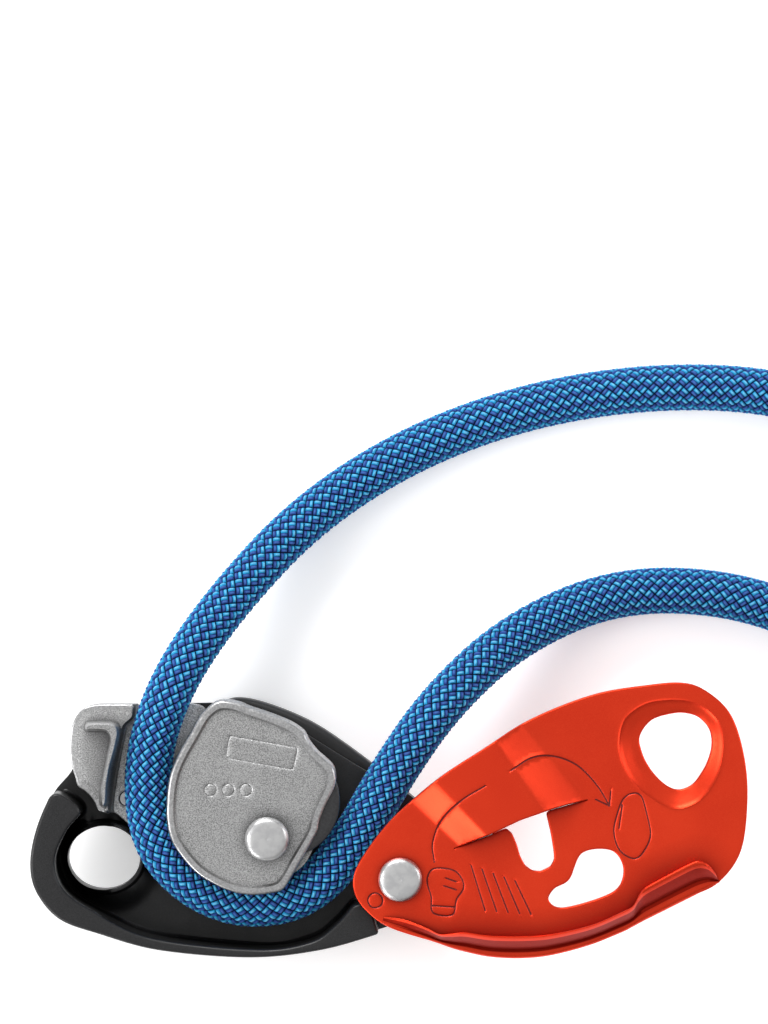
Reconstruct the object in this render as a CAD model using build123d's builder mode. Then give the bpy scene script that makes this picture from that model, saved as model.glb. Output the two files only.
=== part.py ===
from build123d import *
from math import atan2, cos, degrees, pi, radians, sin, tan
import os

os.makedirs("parts", exist_ok=True)

# ---------------------------------------------------------------------------
# Assisted-braking belay device, lying on the back of its folded handle with
# its moving side plate swung open and a rope threaded round the cam.
# Millimetres. +X along the opened device, +Y across it, +Z up through it.
# ---------------------------------------------------------------------------

# heights of the stack, from the floor up
Z_PLATE = 9.5             # back face of the fixed side plate
PLATE_WALL = 3.0          # its back wall
Z_RIM = 29.2              # top of the rim that stands round it
Z_LINER = Z_PLATE + PLATE_WALL
LINER = 2.0               # friction plate under the rope
Z_CAM = 14.8              # rear face of the cam
CAM_REAR = 2.4            # rear flange
Z_SKIRT = 27.7            # lower step of the front flange
Z_FLANGE = 28.2           # underside of the front flange
Z_FACE = 30.7             # front face of the cam
Z_COVER = 31.0            # underside of the moving side plate
SHEET = 2.0               # its thickness
Z_NECK = 30.9             # shoulder of the cam axle
Z_HEAD = 33.3             # underside of the rivet heads
HEAD = 2.2                # their height
BRIDGE_LIFT = 4.8         # how far the bridge stands over the moving plate

# pins and fits
RUN = 0.05                # running clearance on the radius
AXLE = (-25.1, -3.7)      # cam axle
AXLE_R = 4.0
NECK_R = 3.0
HEAD_R = 4.6
PIVOT = (2.8, -12.2)      # hinge of the moving side plate
PIVOT_R = 3.0
PIVOT_SINK_R = 4.8        # its countersunk foot
PIVOT_SINK = 1.6
POST_R = 6.5
BUSH_R = 5.0
RIVET_R = 1.5             # rivets of the friction plate
RIVET_SINK_R = 2.8
RIVET_SINK = 1.2
RIVET_LENGTH = 5.0        # from the back of the plate to the face of the liner
DRIVE_R = 9.5             # circle that the handle's drive pin runs on
DRIVE_PIN_R = 1.1
PIN_PLAY = 0.15
DRIVE_SLOT = DRIVE_PIN_R + PIN_PLAY
DRIVE_AT = 60             # where it stands at rest, degrees
DRIVE_FOOT = 4.0          # its two ends
DRIVE_TOP = 16.4
CAM_TRAVEL = 22           # degrees
HANDLE_TRAVEL = 150       # degrees
EYE = (-59.8, -8.4)       # carabiner hole of the fixed plate, an ellipse
EYE_A = 7.6               # its half lengths
EYE_B = 6.7
EYE_LAND = 1.3            # raised land round it
LAND_LOW = 4.3            # height of the land beside the rope
LAND_HIGH = 11.5          # and on the nose side
THROUGH = 40.0            # longer than anything that it cuts
SPRING_WIRE = 0.8
SPRING_PITCH = 1.05
SPRING_R = 6.2            # mean coil radius
SPRING_POCKET_R = 7.1
CAM_POCKET = 5.2
RADIAL_TANG = 2.2
TANG_R = 0.39
TANG_NOTCH_R = 0.55
ANCHOR_R = 0.6
ANCHOR_DEPTH = 8.0
CAM_SPRING_FOOT = 15.5
CAM_SPRING_TURNS = 3.25
HANDLE_SPRING_FOOT = 5.9
HANDLE_SPRING_TURNS = 2.25

# rope
ROPE_D = 10.0
ROPE_Z = 22.4             # its middle inside the device
FLOOR_Z = ROPE_D / 2      # its middle on the floor
SEALED_END = 14.0

FROM_BELOW = (Align.CENTER, Align.CENTER, Align.MIN)
LINER_RIVETS = [(-60.0, 12.0, Z_PLATE), (-55.0, 4.0, Z_PLATE)]


def arc_slot(centre, radius, half_width, start, end, z_low, z_high, mode):
    """A slot of constant width that follows an arc, from z_low to z_high."""
    with BuildSketch(Plane.XY.offset(z_low)) as profile:
        with BuildLine():
            low = CenterArc(centre, radius - half_width, start, end - start)
            high = CenterArc(centre, radius + half_width, start, end - start)
            Line(low @ 0, high @ 0)
            Line(low @ 1, high @ 1)
        make_face()
        for angle in (start, end):
            x = centre[0] + radius * cos(radians(angle))
            y = centre[1] + radius * sin(radians(angle))
            with Locations((x, y)):
                Circle(half_width)
    extrude(profile.sketch, amount=z_high - z_low, mode=mode)


def closed_curve(points):
    """A smooth closed outline through the points."""
    with BuildLine() as outline:
        Spline(*points, periodic=True)
    make_face(outline.edges())


# --- fixed side plate: a forged back wall with a rim along its lower side ----
with BuildPart() as fixed_side_plate:
    with BuildSketch(Plane.XY.offset(Z_PLATE)):
        with BuildLine():
            nose = Spline(
                (-66.2, 16.0), (-66.6, 10.4), (-70.6, 5.2), (-73.7, -2.1), (-75.0, -9.4), (-73.5, -15.3),
                (-68.7, -20.8), (-60.3, -23.9), (-47.7, -27.3), (-28.8, -28.9), (-14.1, -27.3), (-1.5, -23.8),
                (8.0, -20.4),
            )
            tail = Spline((8.0, -20.4), (12.4, -13.7), (11.1, -3.1), (5.5, 4.2), (-4.6, 9.9), (-15.5, 16.6))
            top = Spline((-15.5, 16.6), (-22.0, 20.6), (-32.0, 23.8), (-40.0, 24.2), (-51.9, 23.8))
            corner = Spline(top @ 1, (-60.9, 23.4), (-64.6, 20.4), nose @ 0)
        make_face()
    extrude(amount=Z_RIM - Z_PLATE)
    # everything inside the rim is cut down to the back wall
    with BuildSketch(Plane.XY.offset(Z_LINER)):
        with BuildLine():
            inner = Spline(
                (-64.6, 1.6), (-67.4, -2.4), (-69.7, -8.4), (-68.0, -14.3), (-61.9, -18.9), (-49.8, -24.6),
                (-27.7, -27.1), (-16.2, -25.6), (-10.9, -22.1), (-7.0, -17.8),
            )
            Polyline(inner @ 1, (-3.2, -17.4), (2.0, -30.0), (20.0, -30.0), (20.0, 30.0), (-80.0, 30.0),
                     (-80.0, 7.0), inner @ 0)
        make_face()
    extrude(amount=Z_RIM, mode=Mode.SUBTRACT)
    # land round the carabiner hole, low beside the rope and higher on the nose side
    with BuildSketch(Plane.XY.offset(Z_LINER)):
        with Locations(EYE):
            Ellipse(EYE_A + EYE_LAND, EYE_B + EYE_LAND)
    extrude(amount=LAND_LOW)
    with BuildSketch(Plane.XY.offset(Z_LINER)):
        with BuildLine():
            Polyline((-66.4, 0.4), (-60.5, -0.6), (-57.5, -1.6), (-57.5, -15.2), (-61.0, -16.6),
                     (-66.0, -15.0), (-69.2, -8.4), close=True)
        make_face()
    extrude(amount=LAND_HIGH)
    with BuildSketch(Plane.XY.offset(Z_PLATE)):
        with Locations(EYE):
            Ellipse(EYE_A, EYE_B)
    extrude(amount=Z_RIM, mode=Mode.SUBTRACT)
    # press-fit holes of the cam axle and the pivot, the rivets' holes
    with Locations((*AXLE, Z_PLATE)):
        Cylinder(AXLE_R, THROUGH, mode=Mode.SUBTRACT)
    with Locations((*PIVOT, Z_PLATE)):
        Cylinder(PIVOT_R, THROUGH, mode=Mode.SUBTRACT)
        Cone(PIVOT_SINK_R, PIVOT_R, PIVOT_SINK, align=FROM_BELOW, mode=Mode.SUBTRACT)
    with Locations(*LINER_RIVETS):
        Cylinder(RIVET_R, THROUGH, mode=Mode.SUBTRACT)
        Cone(RIVET_SINK_R, RIVET_R, RIVET_SINK, align=FROM_BELOW, mode=Mode.SUBTRACT)
    # arc slot for the handle's drive pin
    play = degrees(PIN_PLAY / DRIVE_R)
    arc_slot(AXLE, DRIVE_R, DRIVE_SLOT, DRIVE_AT - CAM_TRAVEL - play, DRIVE_AT + HANDLE_TRAVEL + play,
             Z_PLATE - 1, Z_LINER + 1, Mode.SUBTRACT)
    # anchor holes of the cam spring and the handle spring
    with Locations((AXLE[0] + SPRING_R, AXLE[1], Z_LINER), (AXLE[0], AXLE[1] + SPRING_R, Z_LINER)):
        Cylinder(ANCHOR_R, ANCHOR_DEPTH, mode=Mode.SUBTRACT)
fixed_side_plate.part.label = "fixed_side_plate"
export_step(fixed_side_plate.part, "parts/fixed_side_plate.step")

# --- friction plate: stainless liner, raised pad and rope ridge --------------
PAD_TOP = 24.0
RIDGE_TOP = 29.0
with BuildPart() as friction_plate:
    with BuildSketch(Plane.XY.offset(Z_LINER)):
        with BuildLine():
            edge = Spline(
                (-52.0, 24.4), (-61.3, 24.1), (-64.9, 22.5), (-66.6, 17.8), (-66.4, 11.5), (-64.9, 6.7),
                (-61.7, 3.4),
            )
            Polyline(edge @ 1, (-60.1, 1.6), (-57.1, 0.6), (-54.4, -1.7), (-45.6, -4.2), (-38.2, 4.2),
                     (-37.4, 15.8), (-38.2, 24.4), edge @ 0)
        make_face()
    extrude(amount=PAD_TOP - Z_LINER)
    # the rope's side of the pad is cut down to a thin liner
    with BuildSketch(Plane.XY.offset(Z_LINER + LINER)):
        with BuildLine():
            Polyline((-59.0, -6.0), (-58.4, 2.4), (-58.0, 8.0), (-56.2, 18.0), (-56.3, 30.0), (-30.0, 30.0),
                     (-30.0, -6.0), close=True)
        make_face()
    extrude(amount=20, mode=Mode.SUBTRACT)
    with BuildSketch(Plane.XY.offset(PAD_TOP - 1)):
        with BuildLine():
            Polyline((-63.6, 20.8), (-57.2, 20.8), (-56.8, 18.6), (-58.6, 7.3), (-59.0, 3.2), (-59.8, 2.8),
                     (-60.5, 5.2), (-58.8, 17.2), (-59.2, 18.3), (-63.6, 18.3), close=True)
        make_face()
    extrude(amount=RIDGE_TOP - PAD_TOP + 1)
    with Locations(*LINER_RIVETS):
        Cylinder(RIVET_R, RIVET_LENGTH, align=FROM_BELOW, mode=Mode.SUBTRACT)
friction_plate.part.label = "friction_plate"
export_step(friction_plate.part, "parts/friction_plate.step")

# two countersunk rivets hold it to the side plate
with BuildPart() as friction_plate_rivets:
    with Locations(*LINER_RIVETS):
        Cone(RIVET_SINK_R, RIVET_R, RIVET_SINK, align=FROM_BELOW)
        Cylinder(RIVET_R, RIVET_LENGTH, align=FROM_BELOW)
friction_plate_rivets.part.label = "friction_plate_rivets"
export_step(friction_plate_rivets.part, "parts/friction_plate_rivets.step")

# --- cam: a grooved sheave with a lobe, cast in one piece --------------------
LOBE = (-21.6, 4.0)
FLANGE_OUTLINE = [
    (-38.9, 22.3), (-37.0, 24.6), (-34.0, 25.2), (-28.8, 23.7), (-18.6, 19.6), (-14.5, 14.3), (-10.9, 9.6),
    (-11.3, 6.3), (-14.1, 0.0), (-18.3, -8.8), (-21.8, -14.0), (-28.8, -15.6), (-35.1, -13.9), (-42.4, -8.4),
    (-46.2, 0.0), (-46.1, 7.3), (-43.5, 14.3),
]
FACE_DEPTH = 0.8          # how far its name field is sunk
with BuildPart() as cam:
    # core that the rope runs on
    with BuildSketch(Plane.XY.offset(Z_CAM + CAM_REAR)):
        closed_curve([
            (-43.4, 9.0), (-42.7, 0.6), (-38.9, -7.0), (-33.5, -10.8), (-25.1, -11.7), (-18.9, -9.1),
            (-15.9, -3.7), (-14.2, 2.6), (-17.0, 11.0), (-25.1, 16.2), (-34.0, 19.2), (-41.0, 16.4),
        ])
    extrude(amount=Z_FLANGE - Z_CAM - CAM_REAR)
    # rear flange, front flange and its lower skirt over the lobe
    for z, height in ((Z_CAM, CAM_REAR), (Z_FLANGE, Z_FACE - Z_FLANGE)):
        with BuildSketch(Plane.XY.offset(z)):
            closed_curve(FLANGE_OUTLINE)
        extrude(amount=height)
    with BuildSketch(Plane.XY.offset(Z_SKIRT)):
        with Locations(LOBE):
            Circle(11.8)
    extrude(amount=2.0)
    # recessed name field of the front face
    with BuildSketch(Plane.XY.offset(Z_FACE - FACE_DEPTH)):
        closed_curve([
            (-37.2, 21.6), (-33.4, 22.9), (-27.7, 21.4), (-19.6, 17.8), (-17.0, 13.9), (-12.4, 9.0),
            (-13.7, 4.2), (-18.3, -4.6), (-22.5, -12.0), (-27.7, -14.0), (-35.6, -12.0), (-42.0, -6.6),
            (-44.8, 0.6), (-44.6, 8.0), (-42.0, 14.6),
        ])
    extrude(amount=1.0, mode=Mode.SUBTRACT)
    # bore for the bush, spring pocket, spring notch and pocket of the drive pin
    with Locations((*AXLE, Z_CAM)):
        Cylinder(BUSH_R, THROUGH, mode=Mode.SUBTRACT)
        Cylinder(SPRING_POCKET_R, CAM_POCKET, align=FROM_BELOW, mode=Mode.SUBTRACT)
    arc_slot(AXLE, DRIVE_R, DRIVE_SLOT, DRIVE_AT - play, DRIVE_AT + HANDLE_TRAVEL + play,
             Z_CAM - 1, DRIVE_TOP + 0.2, Mode.SUBTRACT)
    notch = 2 * pi * CAM_SPRING_TURNS
    notch_z = CAM_SPRING_FOOT + SPRING_PITCH * CAM_SPRING_TURNS
    with BuildSketch(Plane(origin=(*AXLE, notch_z), z_dir=(cos(notch), sin(notch), 0))):
        Circle(TANG_NOTCH_R)
    extrude(amount=SPRING_R + RADIAL_TANG + 0.3, mode=Mode.SUBTRACT)
cam.part.label = "cam"
export_step(cam.part, "parts/cam.step")

# bearing bush pressed into the cam
with BuildPart() as cam_bush:
    with Locations((*AXLE, Z_CAM)):
        Cylinder(BUSH_R, Z_FACE - FACE_DEPTH - Z_CAM, align=FROM_BELOW)
        Cylinder(AXLE_R + RUN, THROUGH, mode=Mode.SUBTRACT)
cam_bush.part.label = "cam_bush"
export_step(cam_bush.part, "parts/cam_bush.step")

# --- cam axle: one turned and headed rivet that also carries the handle ------
AXLE_FOOT = 0.8
RING_Z = 1.4
RING_T = 0.9
with BuildPart() as cam_axle:
    with BuildSketch(Plane.XZ):
        with BuildLine():
            Polyline((0, AXLE_FOOT), (AXLE_R, AXLE_FOOT), (AXLE_R, RING_Z), (AXLE_R - 0.6, RING_Z),
                     (AXLE_R - 0.6, RING_Z + RING_T), (AXLE_R, RING_Z + RING_T), (AXLE_R, Z_NECK),
                     (NECK_R, Z_NECK), (NECK_R, Z_HEAD), (HEAD_R, Z_HEAD), (HEAD_R, Z_HEAD + 1.3),
                     (HEAD_R - 0.7, Z_HEAD + HEAD - 0.2), (0, Z_HEAD + HEAD), (0, AXLE_FOOT))
        make_face()
    revolve(axis=Axis.Z)
cam_axle.part.position = (*AXLE, 0)
cam_axle.part.label = "cam_axle"
export_step(cam_axle.part, "parts/cam_axle.step")

# washers, ring and bushes: name, centre, z, height, outer radius, inner radius
PLAIN_RINGS = [
    ("cam_rear_washer", AXLE, Z_LINER, Z_CAM - Z_LINER, 5.2, AXLE_R + RUN),
    ("cam_front_washer", AXLE, Z_NECK, 0.1, HEAD_R - 0.1, NECK_R),
    ("handle_washer", AXLE, RING_Z + RING_T, 0.6, 6.6, AXLE_R + RUN),
    ("handle_retaining_ring", AXLE, RING_Z, RING_T, 5.6, AXLE_R - 0.6),
    ("pivot_spacer", PIVOT, Z_LINER, Z_COVER - 0.3 - Z_LINER, POST_R, PIVOT_R + RUN),
    ("pivot_washer", PIVOT, Z_COVER - 0.3, 0.25, 6.0, PIVOT_R + RUN),
    ("pivot_spring_washer", PIVOT, Z_COVER + SHEET + 0.05, 0.2, 4.2, PIVOT_R + RUN),
]
for name, centre, z, height, outside, inside in PLAIN_RINGS:
    with BuildPart(Plane.XY.offset(z)) as plain_ring:
        with Locations(centre):
            Cylinder(outside, height, align=FROM_BELOW)
            Cylinder(inside, height, align=FROM_BELOW, mode=Mode.SUBTRACT)
    plain_ring.part.label = name
    export_step(plain_ring.part, f"parts/{name}.step")

# --- two torsion springs on the axle: name, foot, turns, end with the radial tang,
# end with the upright tang, how far that one reaches -------------------------
SPRINGS = [
    ("cam_spring", CAM_SPRING_FOOT, CAM_SPRING_TURNS, 1, 0, -4.9),
    ("handle_spring", HANDLE_SPRING_FOOT, HANDLE_SPRING_TURNS, 0, 1, 3.2),
]
for name, foot, turns, radial_end, upright_end, reach in SPRINGS:
    with BuildPart() as torsion_spring:
        with BuildLine() as coil:
            Helix(SPRING_PITCH, SPRING_PITCH * turns, SPRING_R, center=(0, 0, foot))
        tip = coil.line @ radial_end
        with BuildSketch(Plane(origin=tip, z_dir=(tip.X, tip.Y, 0))):
            Circle(TANG_R)
        extrude(amount=RADIAL_TANG)
        with BuildSketch(Plane(origin=coil.line @ upright_end)):
            Circle(TANG_R)
        extrude(amount=reach)
        with BuildSketch(Plane(origin=coil.line @ 0, z_dir=coil.line % 0)):
            Circle(SPRING_WIRE / 2)
        sweep()
    torsion_spring.part.position = (*AXLE, 0)
    torsion_spring.part.label = name
    export_step(torsion_spring.part, f"parts/{name}.step")

# --- handle: moulded lever with a steel drive pin ----------------------------
HANDLE_TOP = 9.0
HUB_R = 13.0
HUB_RECESS_R = 7.6        # room for the end of the axle
HUB_RECESS = 2.95
HANDLE_POCKET_FOOT = 5.4
DRIVE_X = AXLE[0] + DRIVE_R * cos(radians(DRIVE_AT))
DRIVE_Y = AXLE[1] + DRIVE_R * sin(radians(DRIVE_AT))
DRIVE_PIN = (DRIVE_X, DRIVE_Y, DRIVE_FOOT)
with BuildPart() as handle:
    with BuildSketch(Plane.XY):
        with Locations(AXLE):
            Circle(HUB_R)
        with BuildLine():
            crest = Spline((-34.0, 5.0), (-35.6, 22.0), (-30.9, 25.2), (-18.3, 21.2), (-7.8, 14.7),
                           (5.5, 4.2), (13.4, -3.6), (13.8, -7.6), (9.6, -9.4))
            under = Spline(crest @ 1, (-2.0, -10.6), (-14.0, -10.5))
            Line(under @ 1, AXLE)
            Line(AXLE, crest @ 0)
        make_face()
    extrude(amount=HANDLE_TOP)
    fillet(handle.faces().sort_by(Axis.Z)[0].edges(), radius=1.2)
    # hub recess for the axle's end, running bore, spring pocket, pin hole
    with Locations((*AXLE, 0)):
        Cylinder(HUB_RECESS_R, HUB_RECESS, align=FROM_BELOW, mode=Mode.SUBTRACT)
        Cylinder(AXLE_R + RUN, HANDLE_TOP, align=FROM_BELOW, mode=Mode.SUBTRACT)
    with Locations((*AXLE, HANDLE_POCKET_FOOT)):
        Cylinder(SPRING_POCKET_R, HANDLE_TOP, align=FROM_BELOW, mode=Mode.SUBTRACT)
    with Locations(DRIVE_PIN):
        Cylinder(DRIVE_PIN_R, HANDLE_TOP, align=FROM_BELOW, mode=Mode.SUBTRACT)
    with BuildSketch(Plane(origin=(*AXLE, HANDLE_SPRING_FOOT), z_dir=(1, 0, 0))):
        Circle(TANG_NOTCH_R)
    extrude(amount=SPRING_R + RADIAL_TANG + 0.3, mode=Mode.SUBTRACT)
handle.part.label = "handle"
export_step(handle.part, "parts/handle.step")

with BuildPart() as handle_drive_pin:
    with Locations(DRIVE_PIN):
        Cylinder(DRIVE_PIN_R, DRIVE_TOP - DRIVE_FOOT, align=FROM_BELOW)
handle_drive_pin.part.label = "handle_drive_pin"
export_step(handle_drive_pin.part, "parts/handle_drive_pin.step")

# --- moving side plate: pressed sheet with a bridge, a lip and four openings --
PLATE_TRAVEL = 152        # from open, as modelled, to closed, degrees
AXLE_TO_PIVOT = ((PIVOT[0] - AXLE[0]) ** 2 + (PIVOT[1] - AXLE[1]) ** 2) ** 0.5
SLOT_END = degrees(atan2(AXLE[1] - PIVOT[1], AXLE[0] - PIVOT[0])) - PLATE_TRAVEL
SLOT_HALF = 3.55
RING_DEPTH = 1.4
RING_CLEAR = 55.0         # circle inside which the ring would touch the cam
LIP_RISE = 5.0
BRIDGE_FROM = 26          # its sheared edge
BRIDGE_TO = 66            # past the plate's upper edge
BRIDGE_FOOT_IN = 15.2     # radii of its two feet and of its flat top
BRIDGE_TOP_IN = 21.8
BRIDGE_TOP_OUT = 34.4
BRIDGE_FOOT_OUT = 41.6
BRIDGE_JOIN = 1.0         # how far its feet run into the sheet
PLATE_OUTLINE_TOP = [
    (-3.6, -5.2), (0.6, 0.0), (4.8, 4.0), (11.1, 9.4), (19.5, 14.9), (27.9, 20.2), (36.3, 24.1), (44.7, 26.9),
    (53.1, 28.3), (61.5, 29.0), (66.8, 27.3), (72.0, 22.3), (74.8, 13.7), (75.6, 4.2), (74.1, -6.3),
    (69.5, -12.8),
]
PLATE_OUTLINE_LOW = [
    (69.5, -12.8), (57.3, -18.9), (48.9, -23.3), (40.5, -26.5), (27.9, -28.6), (19.5, -27.9), (11.1, -25.6),
    (0.6, -22.3), (-4.6, -18.5), (-6.9, -14.7), (-6.7, -10.5), (-3.6, -5.2),
]
LIP_OUTSIDE = [
    (68.2, -12.4), (58.4, -16.4), (49.9, -21.4), (40.3, -25.2), (28.0, -27.2), (14.8, -25.9), (4.8, -23.1),
]
LIP_INSIDE = [
    (66.8, -11.0), (57.6, -14.6), (48.9, -19.6), (39.7, -23.4), (28.0, -25.4), (15.2, -24.1), (5.3, -21.4),
]
CARABINER_HOLE = [
    (52.7, 15.8), (54.2, 20.6), (58.4, 22.9), (64.7, 22.5), (68.0, 17.8), (67.0, 12.6), (63.6, 7.6),
    (60.7, 6.5), (56.3, 9.4),
]
CARABINER_RING = [
    (48.9, 17.0), (51.0, 23.2), (57.3, 25.4), (65.7, 25.0), (70.4, 18.4), (69.0, 11.0), (65.2, 4.8),
    (60.6, 2.9), (53.6, 7.0),
]
WINDOW = [
    (40.9, -6.7), (46.8, -6.1), (49.4, -9.4), (48.6, -13.6), (44.7, -16.0), (36.8, -18.1), (33.9, -16.6),
    (35.0, -14.2), (38.2, -12.2),
]


def plate_outline():
    with BuildLine() as outline:
        Spline(*PLATE_OUTLINE_TOP)
        Spline(*PLATE_OUTLINE_LOW)
    make_face(outline.edges())


with BuildPart() as bridge:
    start = radians(BRIDGE_FROM)
    with BuildSketch(Plane(origin=(*PIVOT, 0), x_dir=(cos(start), sin(start), 0),
                           z_dir=(sin(start), -cos(start), 0))):
        with BuildLine():
            low, high = Z_COVER, Z_COVER + BRIDGE_LIFT
            near, far = BRIDGE_FOOT_IN - BRIDGE_JOIN, BRIDGE_FOOT_OUT + BRIDGE_JOIN
            Polyline((near, low), (BRIDGE_FOOT_IN, low), (BRIDGE_TOP_IN, high), (BRIDGE_TOP_OUT, high),
                     (BRIDGE_FOOT_OUT, low), (far, low), (far, low + SHEET), (BRIDGE_FOOT_OUT, low + SHEET),
                     (BRIDGE_TOP_OUT, high + SHEET), (BRIDGE_TOP_IN, high + SHEET),
                     (BRIDGE_FOOT_IN, low + SHEET), (near, low + SHEET), close=True)
        make_face()
    revolve(axis=Axis((*PIVOT, 0), (0, 0, 1)), revolution_arc=BRIDGE_TO - BRIDGE_FROM)
    with BuildSketch(Plane.XY.offset(Z_COVER - 1)):
        plate_outline()
    extrude(amount=12, mode=Mode.INTERSECT)

with BuildPart() as moving_side_plate:
    with BuildSketch(Plane.XY.offset(Z_COVER)):
        plate_outline()
    extrude(amount=SHEET)
    # the carabiner hole sits in a shallow ring that is pressed down
    with BuildSketch(Plane.XY.offset(Z_COVER - RING_DEPTH)):
        closed_curve(CARABINER_RING)
        with Locations(PIVOT):
            Circle(RING_CLEAR, mode=Mode.SUBTRACT)
    extrude(amount=RING_DEPTH)
    # a sector of sheet is sheared out and stands up again as the bridge
    with BuildSketch(Plane.XY.offset(Z_COVER)):
        with BuildLine():
            near = CenterArc(PIVOT, BRIDGE_FOOT_IN, BRIDGE_FROM, BRIDGE_TO - BRIDGE_FROM)
            far = CenterArc(PIVOT, BRIDGE_FOOT_OUT, BRIDGE_FROM, BRIDGE_TO - BRIDGE_FROM)
            Line(near @ 0, far @ 0)
            Line(near @ 1, far @ 1)
        make_face()
    extrude(amount=SHEET, mode=Mode.SUBTRACT)
    add(bridge.part)
    # lip along the lower edge
    with BuildSketch(Plane.XY.offset(Z_COVER + SHEET)):
        with BuildLine():
            lip_outside = Spline(*LIP_OUTSIDE)
            lip_inside = Spline(*LIP_INSIDE)
            Line(lip_outside @ 0, lip_inside @ 0)
            Line(lip_outside @ 1, lip_inside @ 1)
        make_face()
    extrude(amount=LIP_RISE)
    # slot for the axle's neck, window over the cam, carabiner hole, pivot hole
    arc_slot(PIVOT, AXLE_TO_PIVOT, SLOT_HALF, SLOT_END, BRIDGE_FROM, Z_COVER - 1, Z_COVER + SHEET + 0.5,
             Mode.SUBTRACT)
    for opening in (WINDOW, CARABINER_HOLE):
        with BuildSketch(Plane.XY.offset(Z_COVER - 3)):
            closed_curve(opening)
        extrude(amount=10, mode=Mode.SUBTRACT)
    with Locations((*PIVOT, Z_COVER)):
        Cylinder(PIVOT_R + RUN, 10, mode=Mode.SUBTRACT)
moving_side_plate.part.label = "moving_side_plate"
export_step(moving_side_plate.part, "parts/moving_side_plate.step")

# rivet that the moving plate turns on, countersunk in the fixed plate
with BuildPart() as plate_pivot_rivet:
    with BuildSketch(Plane.XZ):
        with BuildLine():
            Polyline((0, Z_PLATE), (PIVOT_SINK_R, Z_PLATE), (PIVOT_R, Z_PLATE + PIVOT_SINK),
                     (PIVOT_R, Z_HEAD), (HEAD_R, Z_HEAD), (HEAD_R, Z_HEAD + 1.1),
                     (HEAD_R - 0.7, Z_HEAD + 1.8), (0, Z_HEAD + 2.0), (0, Z_PLATE))
        make_face()
    revolve(axis=Axis.Z)
plate_pivot_rivet.part.position = (*PIVOT, 0)
plate_pivot_rivet.part.label = "plate_pivot_rivet"
export_step(plate_pivot_rivet.part, "parts/plate_pivot_rivet.step")

# --- rope: one length, in at the climber's side, round the cam, out at the brake side --
ROUTE = [
    (101.5, 84.6, FLOOR_Z), (92.0, 88.2, FLOOR_Z), (72.5, 91.6, FLOOR_Z), (48.7, 90.8, FLOOR_Z),
    (25.1, 86.0, FLOOR_Z), (2.7, 77.0, FLOOR_Z), (-17.1, 63.9, 6.0), (-32.4, 47.6, 14.0), (-43.7, 31.9, 21.5),
    (-49.4, 18.0, ROPE_Z), (-50.8, 5.0, ROPE_Z), (-48.3, -6.4, ROPE_Z), (-39.9, -14.8, ROPE_Z),
    (-29.1, -18.5, ROPE_Z), (-16.8, -16.1, ROPE_Z), (-7.6, -5.9, ROPE_Z), (0.9, 9.5, ROPE_Z),
    (11.8, 25.1, 19.5), (27.6, 39.1, 10.0), (48.7, 48.1, FLOOR_Z), (72.2, 47.8, FLOOR_Z),
    (93.5, 40.4, FLOOR_Z), (103.4, 36.5, FLOOR_Z),
]
ENTRY = 8                 # the rope enters the device half way from this point to the next
LEAVE = 15                # and leaves it half way from this one to the next


def corner_radii(points):
    """Radius of each corner: as large as its two runs allow."""
    radii = []
    for before, corner, after in zip(points, points[1:], points[2:]):
        run_in = Vector(*corner) - Vector(*before)
        run_out = Vector(*after) - Vector(*corner)
        half_turn = radians(run_in.get_angle(run_out)) / 2
        radii.append(0.45 * min(run_in.length, run_out.length) / tan(half_turn))
    return radii


def halfway(index):
    return tuple((Vector(*ROUTE[index]) + Vector(*ROUTE[index + 1])) / 2)


ROUTE_RADII = corner_radii(ROUTE)
print("rope corner radii", [round(radius, 1) for radius in ROUTE_RADII])
entry, leave = halfway(ENTRY), halfway(LEAVE)
STRANDS = [
    ("rope_climber_strand", ROUTE[:ENTRY + 1] + [entry], ROUTE_RADII[:ENTRY]),
    ("rope_bight", [entry] + ROUTE[ENTRY + 1:LEAVE + 1] + [leave], ROUTE_RADII[ENTRY:LEAVE]),
    ("rope_brake_strand", [leave] + ROUTE[LEAVE + 1:], ROUTE_RADII[LEAVE:]),
]
for name, points, radii in STRANDS:
    with BuildPart() as strand:
        with BuildLine() as centreline:
            FilletPolyline(*points, radius=radii)
        with BuildSketch(Plane(origin=centreline.line @ 0, z_dir=centreline.line % 0)):
            Circle(ROPE_D / 2)
        sweep()
    length = sum(edge.length for edge in centreline.edges())
    solid_part = strand.part.volume / (length * pi * ROPE_D ** 2 / 4)
    print(name, "length", round(length, 1), "volume ratio", round(solid_part, 4))
    strand.part.label = name
    export_step(strand.part, f"parts/{name}.step")

# sealed ends, each carrying on straight from the rope
for name, tip, behind in (("rope_end_climber", ROUTE[0], ROUTE[1]), ("rope_end_brake", ROUTE[-1], ROUTE[-2])):
    direction = Vector(*tip) - Vector(*behind)
    with BuildPart() as sealed_end:
        with BuildSketch(Plane(origin=tip, z_dir=direction)):
            Circle(ROPE_D / 2)
        extrude(amount=SEALED_END)
    sealed_end.part.label = name
    export_step(sealed_end.part, f"parts/{name}.step")
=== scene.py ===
from math import cos, pi, radians, sin, tau

import bmesh
import bpy
import numpy as np
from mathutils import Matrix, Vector, geometry


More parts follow.
